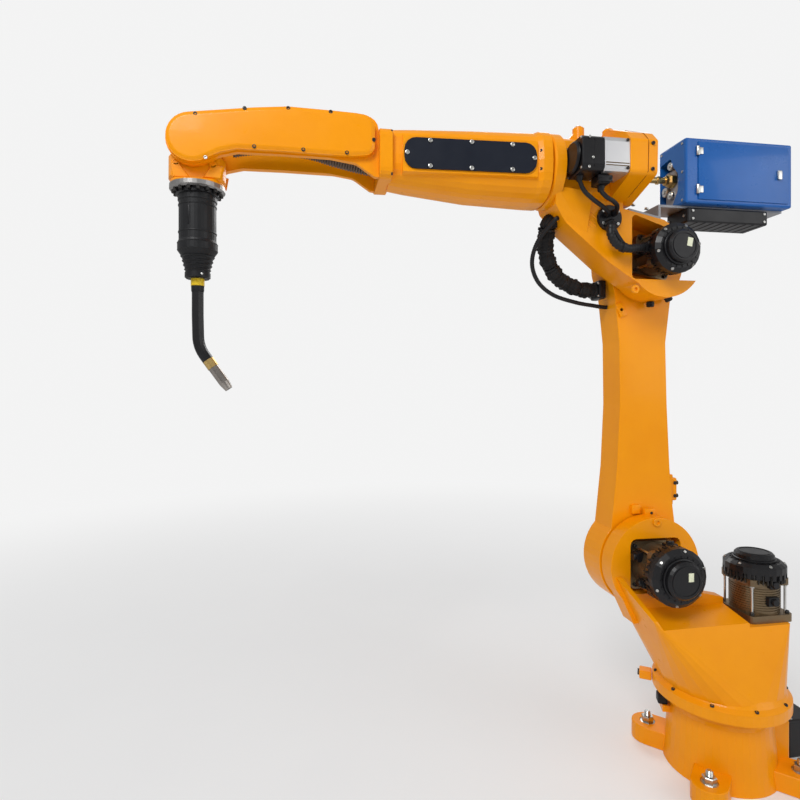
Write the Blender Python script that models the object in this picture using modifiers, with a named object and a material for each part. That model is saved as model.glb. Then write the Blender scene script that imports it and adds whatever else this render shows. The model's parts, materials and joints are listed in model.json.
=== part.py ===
"""Six-axis arc-welding robot arm with hollow wrist, torch and wire feeder.

Metres, +Z up. The origin is the centre of the base's mounting face, on the
first joint's axis. +X is the way the forearm points, +Y the side on which the
shoulder and elbow motors stand. Every driving size has one named value below,
and what seats on or passes through another piece is worked out from it.
"""
import math

import bmesh
import bpy
from mathutils import Matrix, Vector

# Joint layout
SHOULDER_FORWARD = 0.175    # first axis to the shoulder axis
SHOULDER_HEIGHT = 0.505     # mounting face to the shoulder axis
ARM_LENGTH = 0.760          # shoulder axis to elbow axis
ELBOW_RISE = 0.200          # elbow axis up to the forearm's axis
ELBOW_REACH = 0.302         # elbow axis forward to the forearm's flange
WRIST_REACH = 1.092         # elbow axis forward to the wrist's bend axis
SPLIT_Y = -0.047            # plane between the lower arm and its two castings

# Clearances
SEAT = 0.0003               # between pieces that are bolted together
RUNNING = 0.005             # between pieces that move past each other

# Base
PEDESTAL_FOOT_R = 0.130
PEDESTAL_NECK_R = 0.117
TURNTABLE_Z = 0.174         # top of the fixed pedestal
LUG_HOLE_SPACING = 0.240    # square pattern of mounting holes
LUG_THICKNESS = 0.045
LUG_WIDTH = 0.080
MOUNT_HOLE_R = 0.009
SPOT_FACE_R = 0.0195
SPOT_FACE_DEPTH = 0.004
BUMPER_ANGLE = -22.0        # degrees round the first axis
CONNECTOR_BOX = (0.085, 0.150, 0.105)
SOCKET_R = 0.021

# Turret
TURRET_RIM_R = 0.155
TURRET_RIM_HEIGHT = 0.033
CHEEK_R = 0.119
CHEEK_THICKNESS = 0.047
SHOULDER_WINDOW = 0.136     # square opening round the shoulder motor
TURRET_BULGE_Y = 0.085      # how far the body stands out under the motor
TURRET_LIP_DROP = 0.100     # shoulder axis down to the lip under the motor
STOP_LUG_ANGLE = -33.0

# Lower arm
SHOULDER_HUB_R = 0.122
ELBOW_HUB_R = 0.100
ARM_DEPTH = 0.085           # along Y
ARM_WAIST = 0.130           # along X, at its narrowest
ARM_EDGE = 0.022            # rounding of the arm's long edges

# Elbow casting
ELBOW_RIM_R = 0.097
ELBOW_WALL = 0.088          # thickness of the casting round the elbow axis
BARREL_R = 0.079
FLANGE_R = 0.087
FLANGE_LENGTH = 0.026
BELT_CASE_FRONT = 0.152     # face that carries the twist motor, ahead of the elbow axis
BELT_CASE_LENGTH = 0.042
BELT_COVER_LENGTH = 0.023
TWIST_MOTOR_OUT = 0.019     # barrel's side out to the twist motor's axis
TWIST_MOTOR_SIDE = 0.078
ENTRY_PLATE_R = 0.030
BAR_REAR = (0.005, 0.090)   # top edge of the bar over the elbow motor, from the elbow axis
BAR_FRONT_Z = 0.112
LEAD_R = 0.0050
HARNESS_R = 0.020           # cable loop under the elbow
HOSE_R = 0.0055
HARNESS_DROP = (0.038, 0.086)   # bracket's top and foot, below the elbow axis
HARNESS_BRACKET = 0.020

# Wire feeder, measured from the elbow axis
FEEDER_FRONT = -0.037
FEEDER_SEAT_Z = 0.127
FEEDER_SIZE = (0.290, 0.105, 0.157)
FEEDER_SIDE_Y = 0.062
FEEDER_SHEET = 0.0055
WIRE_TUBE_R = 0.0075

# Servo motors: side of the square flange, length to the end of the shroud
SHOULDER_SERVO = (0.118, 0.142)
ELBOW_SERVO = (0.100, 0.136)
SWIVEL_SERVO = (0.118, 0.150)
SHROUD_SHARE = 0.59         # shroud radius to flange side

# Forearm and wrist
TUBE_FRONT = 0.675          # elbow axis forward to the tube's front plate
FORK_PLATE = (0.025, 0.140, 0.110)   # along X, Y and Z
PANEL_THICKNESS = 0.004
FORK_GAP = 0.080            # clear width between the two tines
TINE_THICKNESS = 0.012
TINE_R = 0.054              # round end of each tine, about the bend axis
COVER_THICKNESS = 0.012
COVER_INSET = 0.003         # cover's edge inside the tine's
CONDUIT_R = 0.017
WRIST_R = 0.047
WRIST_DROP = 0.078          # bend axis down to the tool flange
TOOL_RING_R = 0.058
BOOT_R = 0.041
BOOT_LENGTH = 0.1875
NECK_R = 0.0125

PAINT = ("orange_paint", (0.93, 0.39, 0.010), 0.34, 0.0)
PLAIN_STEEL = ("plain_steel", (0.55, 0.55, 0.56), 0.32, 1.0)
SILVER = ("motor_aluminium", (0.70, 0.70, 0.71), 0.38, 1.0)
GUNMETAL = ("motor_casting", (0.17, 0.145, 0.115), 0.42, 0.7)
BLACK = ("black_housing", (0.018, 0.018, 0.020), 0.40, 0.0)
PANEL = ("blue_black_panel", (0.016, 0.020, 0.032), 0.45, 0.2)
RUBBER = ("black_rubber", (0.020, 0.020, 0.021), 0.62, 0.0)
CLOTH = ("black_cable_cloth", (0.024, 0.023, 0.024), 0.85, 0.0)
BRASS = ("brass_fitting", (0.66, 0.47, 0.19), 0.35, 1.0)
BLUE = ("feeder_blue", (0.003, 0.085, 0.33), 0.35, 0.0)
GREY = ("grey_plate", (0.34, 0.35, 0.37), 0.45, 0.3)
YELLOW = ("yellow_ring", (0.90, 0.60, 0.03), 0.45, 0.0)

ELBOW_X = SHOULDER_FORWARD
ELBOW_Z = SHOULDER_HEIGHT + ARM_LENGTH
FOREARM_Z = ELBOW_Z + ELBOW_RISE
WRIST_X = ELBOW_X + WRIST_REACH
FLANGE_X = ELBOW_X + ELBOW_REACH


# Scene and materials

for old in list(bpy.data.objects):
    bpy.data.objects.remove(old, do_unlink=True)

ROBOT = bpy.data.collections.new("robot_arm")
bpy.context.scene.collection.children.link(ROBOT)
CUTTERS = bpy.data.collections.new("cutters")
bpy.context.scene.collection.children.link(CUTTERS)


def material(spec):
    """One Principled material from its name, colour, roughness and metallic."""
    name, colour, roughness, metallic = spec
    mat = bpy.data.materials.get(name) or bpy.data.materials.new(name)
    mat.use_nodes = True
    shader = mat.node_tree.nodes["Principled BSDF"]
    shader.inputs["Base Color"].default_value = (*colour, 1.0)
    shader.inputs["Roughness"].default_value = roughness
    shader.inputs["Metallic"].default_value = metallic
    mat.diffuse_color = (*colour, 1.0)
    return mat


# Outline helpers: lists of (u, v) points

def arc(centre, radius, start, end, steps):
    """Points on an arc, angles in degrees."""
    points = []
    for i in range(steps + 1):
        a = math.radians(start + (end - start) * i / steps)
        points.append((centre[0] + radius * math.cos(a), centre[1] + radius * math.sin(a)))
    return points


def rounded(corners, steps=4):
    """A closed outline from (u, v, radius) corners, each with its own fillet."""
    outline = []
    count = len(corners)
    for i, (u, v, radius) in enumerate(corners):
        here = Vector((u, v))
        if radius <= 0.0:
            outline.append((u, v))
            continue
        back = (Vector(corners[i - 1][:2]) - here).normalized()
        ahead = (Vector(corners[(i + 1) % count][:2]) - here).normalized()
        half = 0.5 * back.angle(ahead)
        start = here + back * (radius / math.tan(half))
        end = here + ahead * (radius / math.tan(half))
        centre = here + (back + ahead).normalized() * (radius / math.sin(half))
        first = start - centre
        turn = first.angle_signed(end - centre)
        for k in range(steps + 1):
            spoke = first.copy()
            spoke.rotate(Matrix.Rotation(-turn * k / steps, 2))
            outline.append(tuple(centre + spoke))
    return outline


def box_outline(centre, width, height, radius, steps=3):
    """A rectangle with rounded corners."""
    u, v = centre
    w, h = width / 2, height / 2
    return rounded([(u - w, v - h, radius), (u + w, v - h, radius),
                    (u + w, v + h, radius), (u - w, v + h, radius)], steps)


# Solid helpers

PLANES = {
    "XY": Matrix(((1, 0, 0, 0), (0, 1, 0, 0), (0, 0, 1, 0), (0, 0, 0, 1))),
    "XZ": Matrix(((1, 0, 0, 0), (0, 0, -1, 0), (0, 1, 0, 0), (0, 0, 0, 1))),
    "YZ": Matrix(((0, 0, 1, 0), (1, 0, 0, 0), (0, 1, 0, 0), (0, 0, 0, 1))),
}
THROUGH = {"XY": Vector((0, 0, 1)), "XZ": Vector((0, 1, 0)), "YZ": Vector((1, 0, 0))}


def adopt(name, mesh, spec, cutter=False):
    """Put a mesh in the scene as a piece, or as a cutter that never renders."""
    mesh.materials.clear()
    mesh.materials.append(material(spec))
    obj = bpy.data.objects.new(name, mesh)
    (CUTTERS if cutter else ROBOT).objects.link(obj)
    if cutter:
        obj.hide_render = True
        obj.display_type = "WIRE"
    return obj


def flat(name, outline, plane, low, high, spec, cutter=False):
    """A flat outline given thickness, from low to high across its plane."""
    curve = bpy.data.curves.new(name, "CURVE")
    curve.dimensions = "2D"
    curve.fill_mode = "BOTH"
    curve.extrude = (high - low) / 2
    spline = curve.splines.new("POLY")
    spline.points.add(len(outline) - 1)
    for point, (u, v) in zip(spline.points, outline):
        point.co = (u, v, 0.0, 1.0)
    spline.use_cyclic_u = True
    holder = bpy.data.objects.new(name + "_outline", curve)
    CUTTERS.objects.link(holder)
    bpy.context.view_layer.update()
    depsgraph = bpy.context.evaluated_depsgraph_get()
    mesh = bpy.data.meshes.new_from_object(holder.evaluated_get(depsgraph))
    bpy.data.objects.remove(holder, do_unlink=True)
    mesh.transform(Matrix.Translation(THROUGH[plane] * (low + high) / 2) @ PLANES[plane])
    shape = bmesh.new()
    shape.from_mesh(mesh)
    bmesh.ops.remove_doubles(shape, verts=shape.verts, dist=0.00001)
    bmesh.ops.recalc_face_normals(shape, faces=shape.faces)
    shape.to_mesh(mesh)
    shape.free()
    mesh.name = name
    return adopt(name, mesh, spec, cutter)


AXES = {"X": (0, math.radians(90), 0), "Y": (math.radians(-90), 0, 0), "Z": (0, 0, 0)}


def turned(name, profile, at, axis, spec, steps=40, cutter=False):
    """A turned piece: (radius, height) points from its top down its outer side."""
    mesh = bpy.data.meshes.new(name)
    mesh.from_pydata([(r, 0.0, h) for r, h in profile],
                     [(i, i + 1) for i in range(len(profile) - 1)], [])
    obj = adopt(name, mesh, spec, cutter)
    obj.location = at
    obj.rotation_euler = AXES[axis] if isinstance(axis, str) else axis
    screw = obj.modifiers.new("turn", "SCREW")
    screw.axis = "Z"
    screw.angle = math.tau
    screw.steps = steps
    screw.render_steps = steps
    screw.use_merge_vertices = True
    screw.merge_threshold = 0.00005
    screw.use_smooth_shade = True
    return obj


def rod(name, radius, low, high, at, axis, spec, steps=32, edge=0.0, cutter=False):
    """A plain round bar along an axis, its ends broken by a small chamfer."""
    if edge > 0:
        profile = [(0, high), (radius - edge, high), (radius, high - edge),
                   (radius, low + edge), (radius - edge, low), (0, low)]
    else:
        profile = [(0, high), (radius, high), (radius, low), (0, low)]
    return turned(name, profile, at, axis, spec, steps, cutter)


def block(name, low, high, spec, edge=0.0, segments=2, cutter=False):
    """A box between two corners, with bevelled edges."""
    shape = bmesh.new()
    bmesh.ops.create_cube(shape, size=1.0)
    size = Vector(high) - Vector(low)
    centre = (Vector(high) + Vector(low)) / 2
    bmesh.ops.scale(shape, vec=size, verts=shape.verts)
    bmesh.ops.translate(shape, vec=centre, verts=shape.verts)
    mesh = bpy.data.meshes.new(name)
    shape.to_mesh(mesh)
    shape.free()
    obj = adopt(name, mesh, spec, cutter)
    if edge > 0:
        soften(obj, edge, segments)
    return obj


def hull(name, points, spec, cutter=False):
    """The tight skin round a set of points."""
    shape = bmesh.new()
    for point in points:
        shape.verts.new(point)
    result = bmesh.ops.convex_hull(shape, input=shape.verts)
    spare = [v for v in result["geom_interior"] if isinstance(v, bmesh.types.BMVert)]
    bmesh.ops.delete(shape, geom=spare, context="VERTS")
    bmesh.ops.dissolve_limit(shape, angle_limit=math.radians(1), verts=shape.verts, edges=shape.edges)
    mesh = bpy.data.meshes.new(name)
    shape.to_mesh(mesh)
    shape.free()
    return adopt(name, mesh, spec, cutter)


def loft(name, rings, spec, cutter=False):
    """A closed skin over rings that all have the same number of points."""
    count = len(rings[0])
    verts = [tuple(point) for ring in rings for point in ring]
    faces = [tuple(range(count - 1, -1, -1))]
    for r in range(len(rings) - 1):
        for i in range(count):
            j = (i + 1) % count
            faces.append((r * count + i, r * count + j, (r + 1) * count + j, (r + 1) * count + i))
    faces.append(tuple((len(rings) - 1) * count + i for i in range(count)))
    mesh = bpy.data.meshes.new(name)
    mesh.from_pydata(verts, [], faces)
    shape = bmesh.new()
    shape.from_mesh(mesh)
    bmesh.ops.recalc_face_normals(shape, faces=shape.faces)
    shape.to_mesh(mesh)
    shape.free()
    return adopt(name, mesh, spec, cutter)


def tube(name, points, radius, spec, sides=2):
    """A cable or hose: a round tube along a smooth route, with filled ends."""
    curve = bpy.data.curves.new(name, "CURVE")
    curve.dimensions = "3D"
    curve.bevel_depth = radius
    curve.bevel_resolution = sides
    curve.use_fill_caps = True
    spline = curve.splines.new("POLY")
    spline.points.add(len(points) - 1)
    for point, co in zip(spline.points, points):
        point.co = (*co, 1.0)
    curve.materials.append(material(spec))
    obj = bpy.data.objects.new(name, curve)
    ROBOT.objects.link(obj)
    return obj


def smooth_route(knots, spacing):
    """Points every so far along a smooth curve through the chosen knots."""
    knots = [Vector(k) for k in knots]
    padded = [2 * knots[0] - knots[1], *knots, 2 * knots[-1] - knots[-2]]
    dense = []
    for i in range(1, len(padded) - 2):
        a, b, c, d = padded[i - 1:i + 3]
        for k in range(24):
            t = k / 24
            dense.append(0.5 * ((2 * b) + (c - a) * t + (2 * a - 5 * b + 4 * c - d) * t * t
                                + (3 * b - a - 3 * c + d) * t ** 3))
    dense.append(knots[-1])
    length = sum((q - p).length for p, q in zip(dense, dense[1:]))
    count = max(3, round(length / spacing))
    route, walked, target = [dense[0]], 0.0, length / count
    for p, q in zip(dense, dense[1:]):
        step = (q - p).length
        while walked + step >= target and len(route) < count:
            route.append(p.lerp(q, (target - walked) / step))
            target += length / count
        walked += step
    route.append(dense[-1])
    return route


def lead_route(start, leave, knots, end, arrive, spacing):
    """A smooth route whose first and last stretch stand square on their seats."""
    start, end = Vector(start), Vector(end)
    first = start + Vector(leave)
    last = end + Vector(arrive)
    return [start, *smooth_route([first, *knots, last], spacing), end]


def soften(obj, width, segments=2, angle=40):
    """Bevelled edges where faces meet at more than the angle."""
    bevel = obj.modifiers.new("edges", "BEVEL")
    bevel.width = width
    bevel.segments = segments
    bevel.limit_method = "ANGLE"
    bevel.angle_limit = math.radians(angle)
    bevel.harden_normals = False
    return obj


def combine(obj, other, operation):
    boolean = obj.modifiers.new(operation.lower() + "_" + other.name, "BOOLEAN")
    boolean.operation = operation
    boolean.object = other
    boolean.solver = "EXACT"
    return obj


def add(obj, *others):
    """Cast the other solids into this one."""
    for other in others:
        combine(obj, other, "UNION")
    return obj


def cut(obj, *others):
    """Take the other solids out of this one."""
    for other in others:
        combine(obj, other, "DIFFERENCE")
    return obj


def around(angle, radius, z=0.0):
    """A point round the first axis, angle in degrees from +X."""
    a = math.radians(angle)
    return Vector((radius * math.cos(a), radius * math.sin(a), z))


# Base

def build_base():
    pedestal = turned("base_casting", [
        (0, TURNTABLE_Z), (0.105, TURNTABLE_Z), (0.121, TURNTABLE_Z - 0.004),
        (0.122, TURNTABLE_Z - 0.018), (PEDESTAL_NECK_R, TURNTABLE_Z - 0.030),
        (PEDESTAL_FOOT_R - 0.004, 0.030), (PEDESTAL_FOOT_R, 0.0), (0, 0.0),
    ], (0, 0, 0), "Z", PAINT, steps=48)
    hole_radius = LUG_HOLE_SPACING / math.sqrt(2)
    tip = hole_radius
    for quarter in range(4):
        angle = 45 + 90 * quarter
        outline = [(0.06, -LUG_WIDTH / 2)]
        outline += arc((tip, 0), LUG_WIDTH / 2, -90, 90, 10)
        outline += [(0.06, LUG_WIDTH / 2)]
        lug = flat("lug_%d" % quarter, outline, "XY", 0.0, LUG_THICKNESS, PAINT, cutter=True)
        lug.rotation_euler = (0, 0, math.radians(angle))
        soften(lug, 0.004, 1, 60)
        hole = rod("lug_hole_%d" % quarter, MOUNT_HOLE_R, -0.01, 0.1,
                   around(angle, hole_radius), "Z", PAINT, 20, cutter=True)
        spot = rod("lug_spot_%d" % quarter, SPOT_FACE_R, LUG_THICKNESS - SPOT_FACE_DEPTH, 0.08,
                   around(angle, hole_radius), "Z", PAINT, 24, cutter=True)
        add(pedestal, lug)
        cut(pedestal, hole, spot)
    seat = block("bumper_seat", (0.10, -0.017, 0.118), (0.136, 0.017, 0.134), PAINT, cutter=True)
    seat.rotation_euler = (0, 0, math.radians(BUMPER_ANGLE))
    rear = -(PEDESTAL_FOOT_R - 0.008)
    boss = block("connector_boss", (rear - 0.012, -CONNECTOR_BOX[1] / 2, 0.030),
                 (rear + 0.06, CONNECTOR_BOX[1] / 2, 0.030 + CONNECTOR_BOX[2]), PAINT, 0.005, 2, cutter=True)
    add(pedestal, seat, boss)

    bumper = block("base_stop_bumper", (0.1225, -0.013, 0.134 + SEAT), (0.146, 0.013, 0.158), RUBBER, 0.003)
    bumper.rotation_euler = (0, 0, math.radians(BUMPER_ANGLE))

    back = rear - 0.012 - SEAT
    box = block("connector_box", (back - CONNECTOR_BOX[0], -CONNECTOR_BOX[1] / 2 + 0.006, 0.036),
                (back, CONNECTOR_BOX[1] / 2 - 0.006, 0.024 + CONNECTOR_BOX[2]), BLACK, 0.006)
    face = back - CONNECTOR_BOX[0] - SEAT
    sockets = []
    for side, label in ((-1, "power_socket"), (1, "signal_socket")):
        profile = [(0, 0.0), (SOCKET_R + 0.006, 0.0), (SOCKET_R + 0.006, -0.005), (SOCKET_R, -0.005),
                   (SOCKET_R, -0.030), (SOCKET_R - 0.004, -0.030), (SOCKET_R - 0.004, -0.010), (0, -0.010)]
        socket = turned(label, profile, (face, side * 0.034, 0.083), "X", PLAIN_STEEL, 24)
        sockets.append(socket)
    return [pedestal, bumper, box, *sockets]


# Turret

def servo(prefix, size, axis, at, spin=0.0):
    """A fan-cooled servo motor: square flange and body, finned shroud, cap.

    It stands on `at` and runs along its axis; spin turns its square.
    """
    side, length = size
    shroud_r = side * SHROUD_SHARE
    square = flat(prefix + "_flange", box_outline((0, 0), side, side, side * 0.1),
                  "XY", 0.0, 0.018, GUNMETAL, cutter=True)
    body = rod(prefix + "_body", side * 0.46, 0.0, length - 0.046, (0, 0, 0), "Z", GUNMETAL, 36)
    tail = flat(prefix + "_tail", box_outline((0, 0), side * 0.92, side * 0.92, side * 0.1),
                "XY", length - 0.062, length - 0.046, GUNMETAL, cutter=True)
    add(body, square, tail)
    low = length - 0.046 + SEAT
    teeth = 24
    comb_outline = []
    for i in range(teeth):
        for part, r in ((0.0, shroud_r - 0.005), (0.45, shroud_r - 0.005), (0.5, shroud_r), (0.95, shroud_r)):
            angle = math.tau * (i + part) / teeth
            comb_outline.append((r * math.cos(angle), r * math.sin(angle)))
    shroud = turned(prefix + "_fan_shroud", [
        (0, length - 0.010), (shroud_r - 0.010, length - 0.010), (shroud_r, length - 0.018),
        (shroud_r, low + 0.012), (shroud_r * 0.7, low + 0.012), (shroud_r * 0.7, low), (0, low),
    ], (0, 0, 0), "Z", BLACK, 24)
    comb = flat(prefix + "_comb", comb_outline, "XY", low, low + 0.014, BLACK, cutter=True)
    add(shroud, comb)
    cap = turned(prefix + "_fan_cap", [
        (0, length + 0.008), (shroud_r * 0.57, length + 0.008), (shroud_r * 0.64, length + 0.003),
        (shroud_r * 0.64, length - 0.010 + SEAT), (0, length - 0.010 + SEAT),
    ], (0, 0, 0), "Z", BLACK, 28)
    pieces = [body, shroud, cap]
    turn = Matrix.Rotation(math.radians(spin), 4, "Z")
    aim = {"Y": Matrix.Rotation(math.radians(-90), 4, "X"), "Z": Matrix.Identity(4)}[axis]
    for obj in [*pieces, square, tail, comb]:
        obj.matrix_world = Matrix.Translation(at) @ aim @ turn
    return pieces


def build_turret():
    low = TURNTABLE_Z + RUNNING
    high = low + TURRET_RIM_HEIGHT
    rim = turned("turret_casting", [
        (0, high + 0.020), (TURRET_RIM_R - 0.024, high + 0.020), (TURRET_RIM_R - 0.010, high),
        (TURRET_RIM_R, high - 0.008), (TURRET_RIM_R, low), (0, low),
    ], (0, 0, 0), "Z", PAINT, steps=56)
    near = SPLIT_Y + CHEEK_THICKNESS
    foot = [around(a, TURRET_RIM_R - 0.014, high - 0.004) for a in range(0, 360, 15)]
    lip = SHOULDER_HEIGHT - TURRET_LIP_DROP
    shell = hull("turret_body", foot + [
        Vector((SHOULDER_FORWARD + 0.087, SPLIT_Y, lip + 0.035)),
        Vector((SHOULDER_FORWARD + 0.108, near, lip + 0.080)),
        Vector((SHOULDER_FORWARD + 0.062, TURRET_BULGE_Y, lip)),
        Vector((0.030 - TURRET_RIM_R, TURRET_BULGE_Y, lip - 0.020)),
        Vector((0.005 - TURRET_RIM_R, near, lip - 0.020)),
        Vector((0.005 - TURRET_RIM_R, SPLIT_Y, lip - 0.020)),
        Vector((0.045 - TURRET_RIM_R, SPLIT_Y - 0.060, lip - 0.090)),
    ], PAINT, cutter=True)
    cheek_outline = arc((SHOULDER_FORWARD, SHOULDER_HEIGHT), CHEEK_R, 40, 215, 26)
    cheek_outline += [(SHOULDER_FORWARD - 0.120, lip - 0.040), (SHOULDER_FORWARD + 0.060, lip - 0.040),
                      (SHOULDER_FORWARD + 0.088, lip + 0.020)]
    cheek_outline += arc((SHOULDER_FORWARD, SHOULDER_HEIGHT), CHEEK_R, -28, 28, 10)
    cheek = flat("turret_cheek", cheek_outline, "XZ", SPLIT_Y, near, PAINT, cutter=True)
    soften(cheek, 0.006, 2, 50)
    add(rim, shell, cheek)
    half = SHOULDER_WINDOW / 2
    window = flat("shoulder_window", box_outline((SHOULDER_FORWARD, SHOULDER_HEIGHT + 0.001),
                                                 SHOULDER_WINDOW, SHOULDER_WINDOW, 0.016),
                  "XZ", SPLIT_Y + 0.014, near + 0.15, PAINT, cutter=True)
    pocket = hull("motor_pocket", [
        Vector((SHOULDER_FORWARD + half + 0.034, near, SHOULDER_HEIGHT - 0.005)),
        Vector((SHOULDER_FORWARD + half + 0.034, near + 0.2, SHOULDER_HEIGHT - 0.005)),
        Vector((SHOULDER_FORWARD + half + 0.030, near, SHOULDER_HEIGHT + 0.2)),
        Vector((SHOULDER_FORWARD + half + 0.030, near + 0.2, SHOULDER_HEIGHT + 0.2)),
        Vector((SHOULDER_FORWARD + 0.040, near, SHOULDER_HEIGHT - half - 0.036)),
        Vector((SHOULDER_FORWARD + 0.040, near + 0.2, SHOULDER_HEIGHT - half - 0.070)),
        Vector((-0.045, near, SHOULDER_HEIGHT - half - 0.036)),
        Vector((-0.045, near + 0.2, SHOULDER_HEIGHT - half - 0.070)),
        Vector((-0.060, near, SHOULDER_HEIGHT + 0.2)),
        Vector((-0.060, near + 0.2, SHOULDER_HEIGHT + 0.2)),
    ], PAINT, cutter=True)
    hub_room = rod("hub_room", SHOULDER_HUB_R + RUNNING + 0.004, -0.20, SPLIT_Y,
                   (SHOULDER_FORWARD, 0, SHOULDER_HEIGHT), "Y", PAINT, 48, cutter=True)
    motor_x = 0.070 - TURRET_RIM_R
    deck_edge = motor_x + SWIVEL_SERVO[0] / 2 + 0.014
    deck = block("motor_deck", (-0.30, -0.20, lip - 0.028), (deck_edge, 0.20, 0.60), PAINT, cutter=True)
    bearing = rod("swivel_bearing", 0.098, TURNTABLE_Z + SEAT, low + 0.01, (0, 0, 0), "Z", PAINT, 48, cutter=True)
    cut(rim, window, pocket, hub_room, deck)
    add(rim, bearing)

    lug = block("turret_stop_block", (TURRET_RIM_R + 0.0005, -0.016, low - 0.001),
                (TURRET_RIM_R + 0.031, 0.016, low + 0.021), PAINT, 0.003)
    lug.rotation_euler = (0, 0, math.radians(STOP_LUG_ANGLE))

    motor = servo("shoulder_motor", SHOULDER_SERVO, "Y",
                  (SHOULDER_FORWARD, SPLIT_Y + 0.014 + SEAT, SHOULDER_HEIGHT))
    base_motor = servo("swivel_motor", SWIVEL_SERVO, "Z", (motor_x, 0.018, lip - 0.028 + SEAT))
    return [rim, lug, *motor, *base_motor]


# Lower arm

def build_lower_arm():
    near = SPLIT_Y - RUNNING
    far = near - ARM_DEPTH
    x = SHOULDER_FORWARD
    half = ARM_WAIST / 2
    waist_z = ARM_LENGTH / 2 + 0.020
    upper = ARM_LENGTH - 0.070
    front = [(half + 0.018, 0.140), (half + 0.008, 0.235), (half, waist_z), (half + 0.002, upper - 0.130),
             (half + 0.016, upper)]
    back = [(-half - 0.013, upper), (-half + 0.003, upper - 0.130), (-half - 0.001, waist_z),
            (-half - 0.009, 0.235), (-half - 0.017, 0.140)]
    outline = arc((x, SHOULDER_HEIGHT), SHOULDER_HUB_R, 180 - 43, 360 + 43, 34)
    outline += [(x + dx, SHOULDER_HEIGHT + dz) for dx, dz in front]
    outline += arc((x, ELBOW_Z), ELBOW_HUB_R, -28, 180 + 33, 26)
    outline += [(x + dx, SHOULDER_HEIGHT + dz) for dx, dz in back]
    casting = flat("lower_arm_casting", outline, "XZ", far, near, PAINT)
    soften(casting, ARM_EDGE, 3, 50)
    for name, z, r in (("shoulder_bearing", SHOULDER_HEIGHT, SHOULDER_HUB_R - 0.022),
                       ("elbow_bearing", ELBOW_Z, ELBOW_HUB_R - 0.022)):
        add(casting, rod(name, r, near - 0.01, SPLIT_Y - SEAT, (x, 0, z), "Y", PAINT, 40, cutter=True))
    covers = []
    for name, z, r in (("shoulder_hub_cover", SHOULDER_HEIGHT, SHOULDER_HUB_R - 0.034),
                       ("elbow_hub_cover", ELBOW_Z, ELBOW_HUB_R - 0.034)):
        covers.append(turned(name, [
            (0, far - SEAT), (r, far - SEAT), (r, far - 0.012), (r - 0.006, far - 0.018),
            (r * 0.55, far - 0.018), (r * 0.5, far - 0.024), (0, far - 0.024),
        ], (x, 0, z), "Y", PAINT, 40))
    clamp = block("harness_clamp_block", (x - 0.1085, near - 0.062, SHOULDER_HEIGHT + 0.145),
                  (x - 0.0945, near - 0.018, SHOULDER_HEIGHT + 0.205), PAINT, 0.004)
    pad = block("clamp_pad", (x - 0.0945 + SEAT, near - 0.066, SHOULDER_HEIGHT + 0.135),
                (x - 0.0600, near - 0.014, SHOULDER_HEIGHT + 0.215), PAINT, 0.003, cutter=True)
    add(casting, pad)
    middle = (near + far) / 2
    front_x = x + math.sqrt(ELBOW_HUB_R ** 2 - HARNESS_DROP[0] ** 2) + SEAT
    bracket = block("harness_bracket", (front_x, middle - HARNESS_R - 0.004, ELBOW_Z - HARNESS_DROP[1]),
                    (front_x + HARNESS_BRACKET, middle + HARNESS_R + 0.004, ELBOW_Z - HARNESS_DROP[0]), BLACK, 0.004)
    return [casting, *covers, clamp, bracket]


def build_harness():
    """The cable loop under the elbow and the hose beside it, from the elbow casting to the arm."""
    x, z = ELBOW_X, ELBOW_Z
    middle = SPLIT_Y - RUNNING - ARM_DEPTH / 2
    end_x = x + math.sqrt(ELBOW_HUB_R ** 2 - HARNESS_DROP[0] ** 2) + HARNESS_BRACKET + 2 * SEAT
    end_z = z - sum(HARNESS_DROP) / 2
    slope = Vector((0.031, 0, 0.042)).normalized()
    out = Vector((slope.z, 0, -slope.x))
    start = Vector((x + 0.268, -0.012, z + 0.0876)) + out * 0.0008
    loop = tube("elbow_harness", lead_route(
        start, out * 0.012, [(x + 0.272, -0.040, z + 0.038), (x + 0.257, -0.060, z + 0.001),
                             (x + 0.221, -0.078, z - 0.036), (x + 0.168, -0.090, z - 0.058)],
        (end_x, middle, end_z), (0.012, 0, 0), 0.034), HARNESS_R, CLOTH, 3)
    start = Vector((x + 0.268, 0.022, z + 0.0876)) + out * 0.0006
    hose = tube("elbow_hose", lead_route(
        start, out * 0.012, [(x + 0.302, -0.020, z + 0.040), (x + 0.306, -0.050, z - 0.005),
                             (x + 0.272, -0.070, z - 0.050), (x + 0.205, -0.080, z - 0.090),
                             (x + 0.140, middle, z - 0.108)],
        (x + ARM_WAIST / 2 + 0.0125, middle, z - 0.112), (0.012, 0, 0), 0.016), HOSE_R, RUBBER)
    return [loop], [hose]


# Elbow

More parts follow.
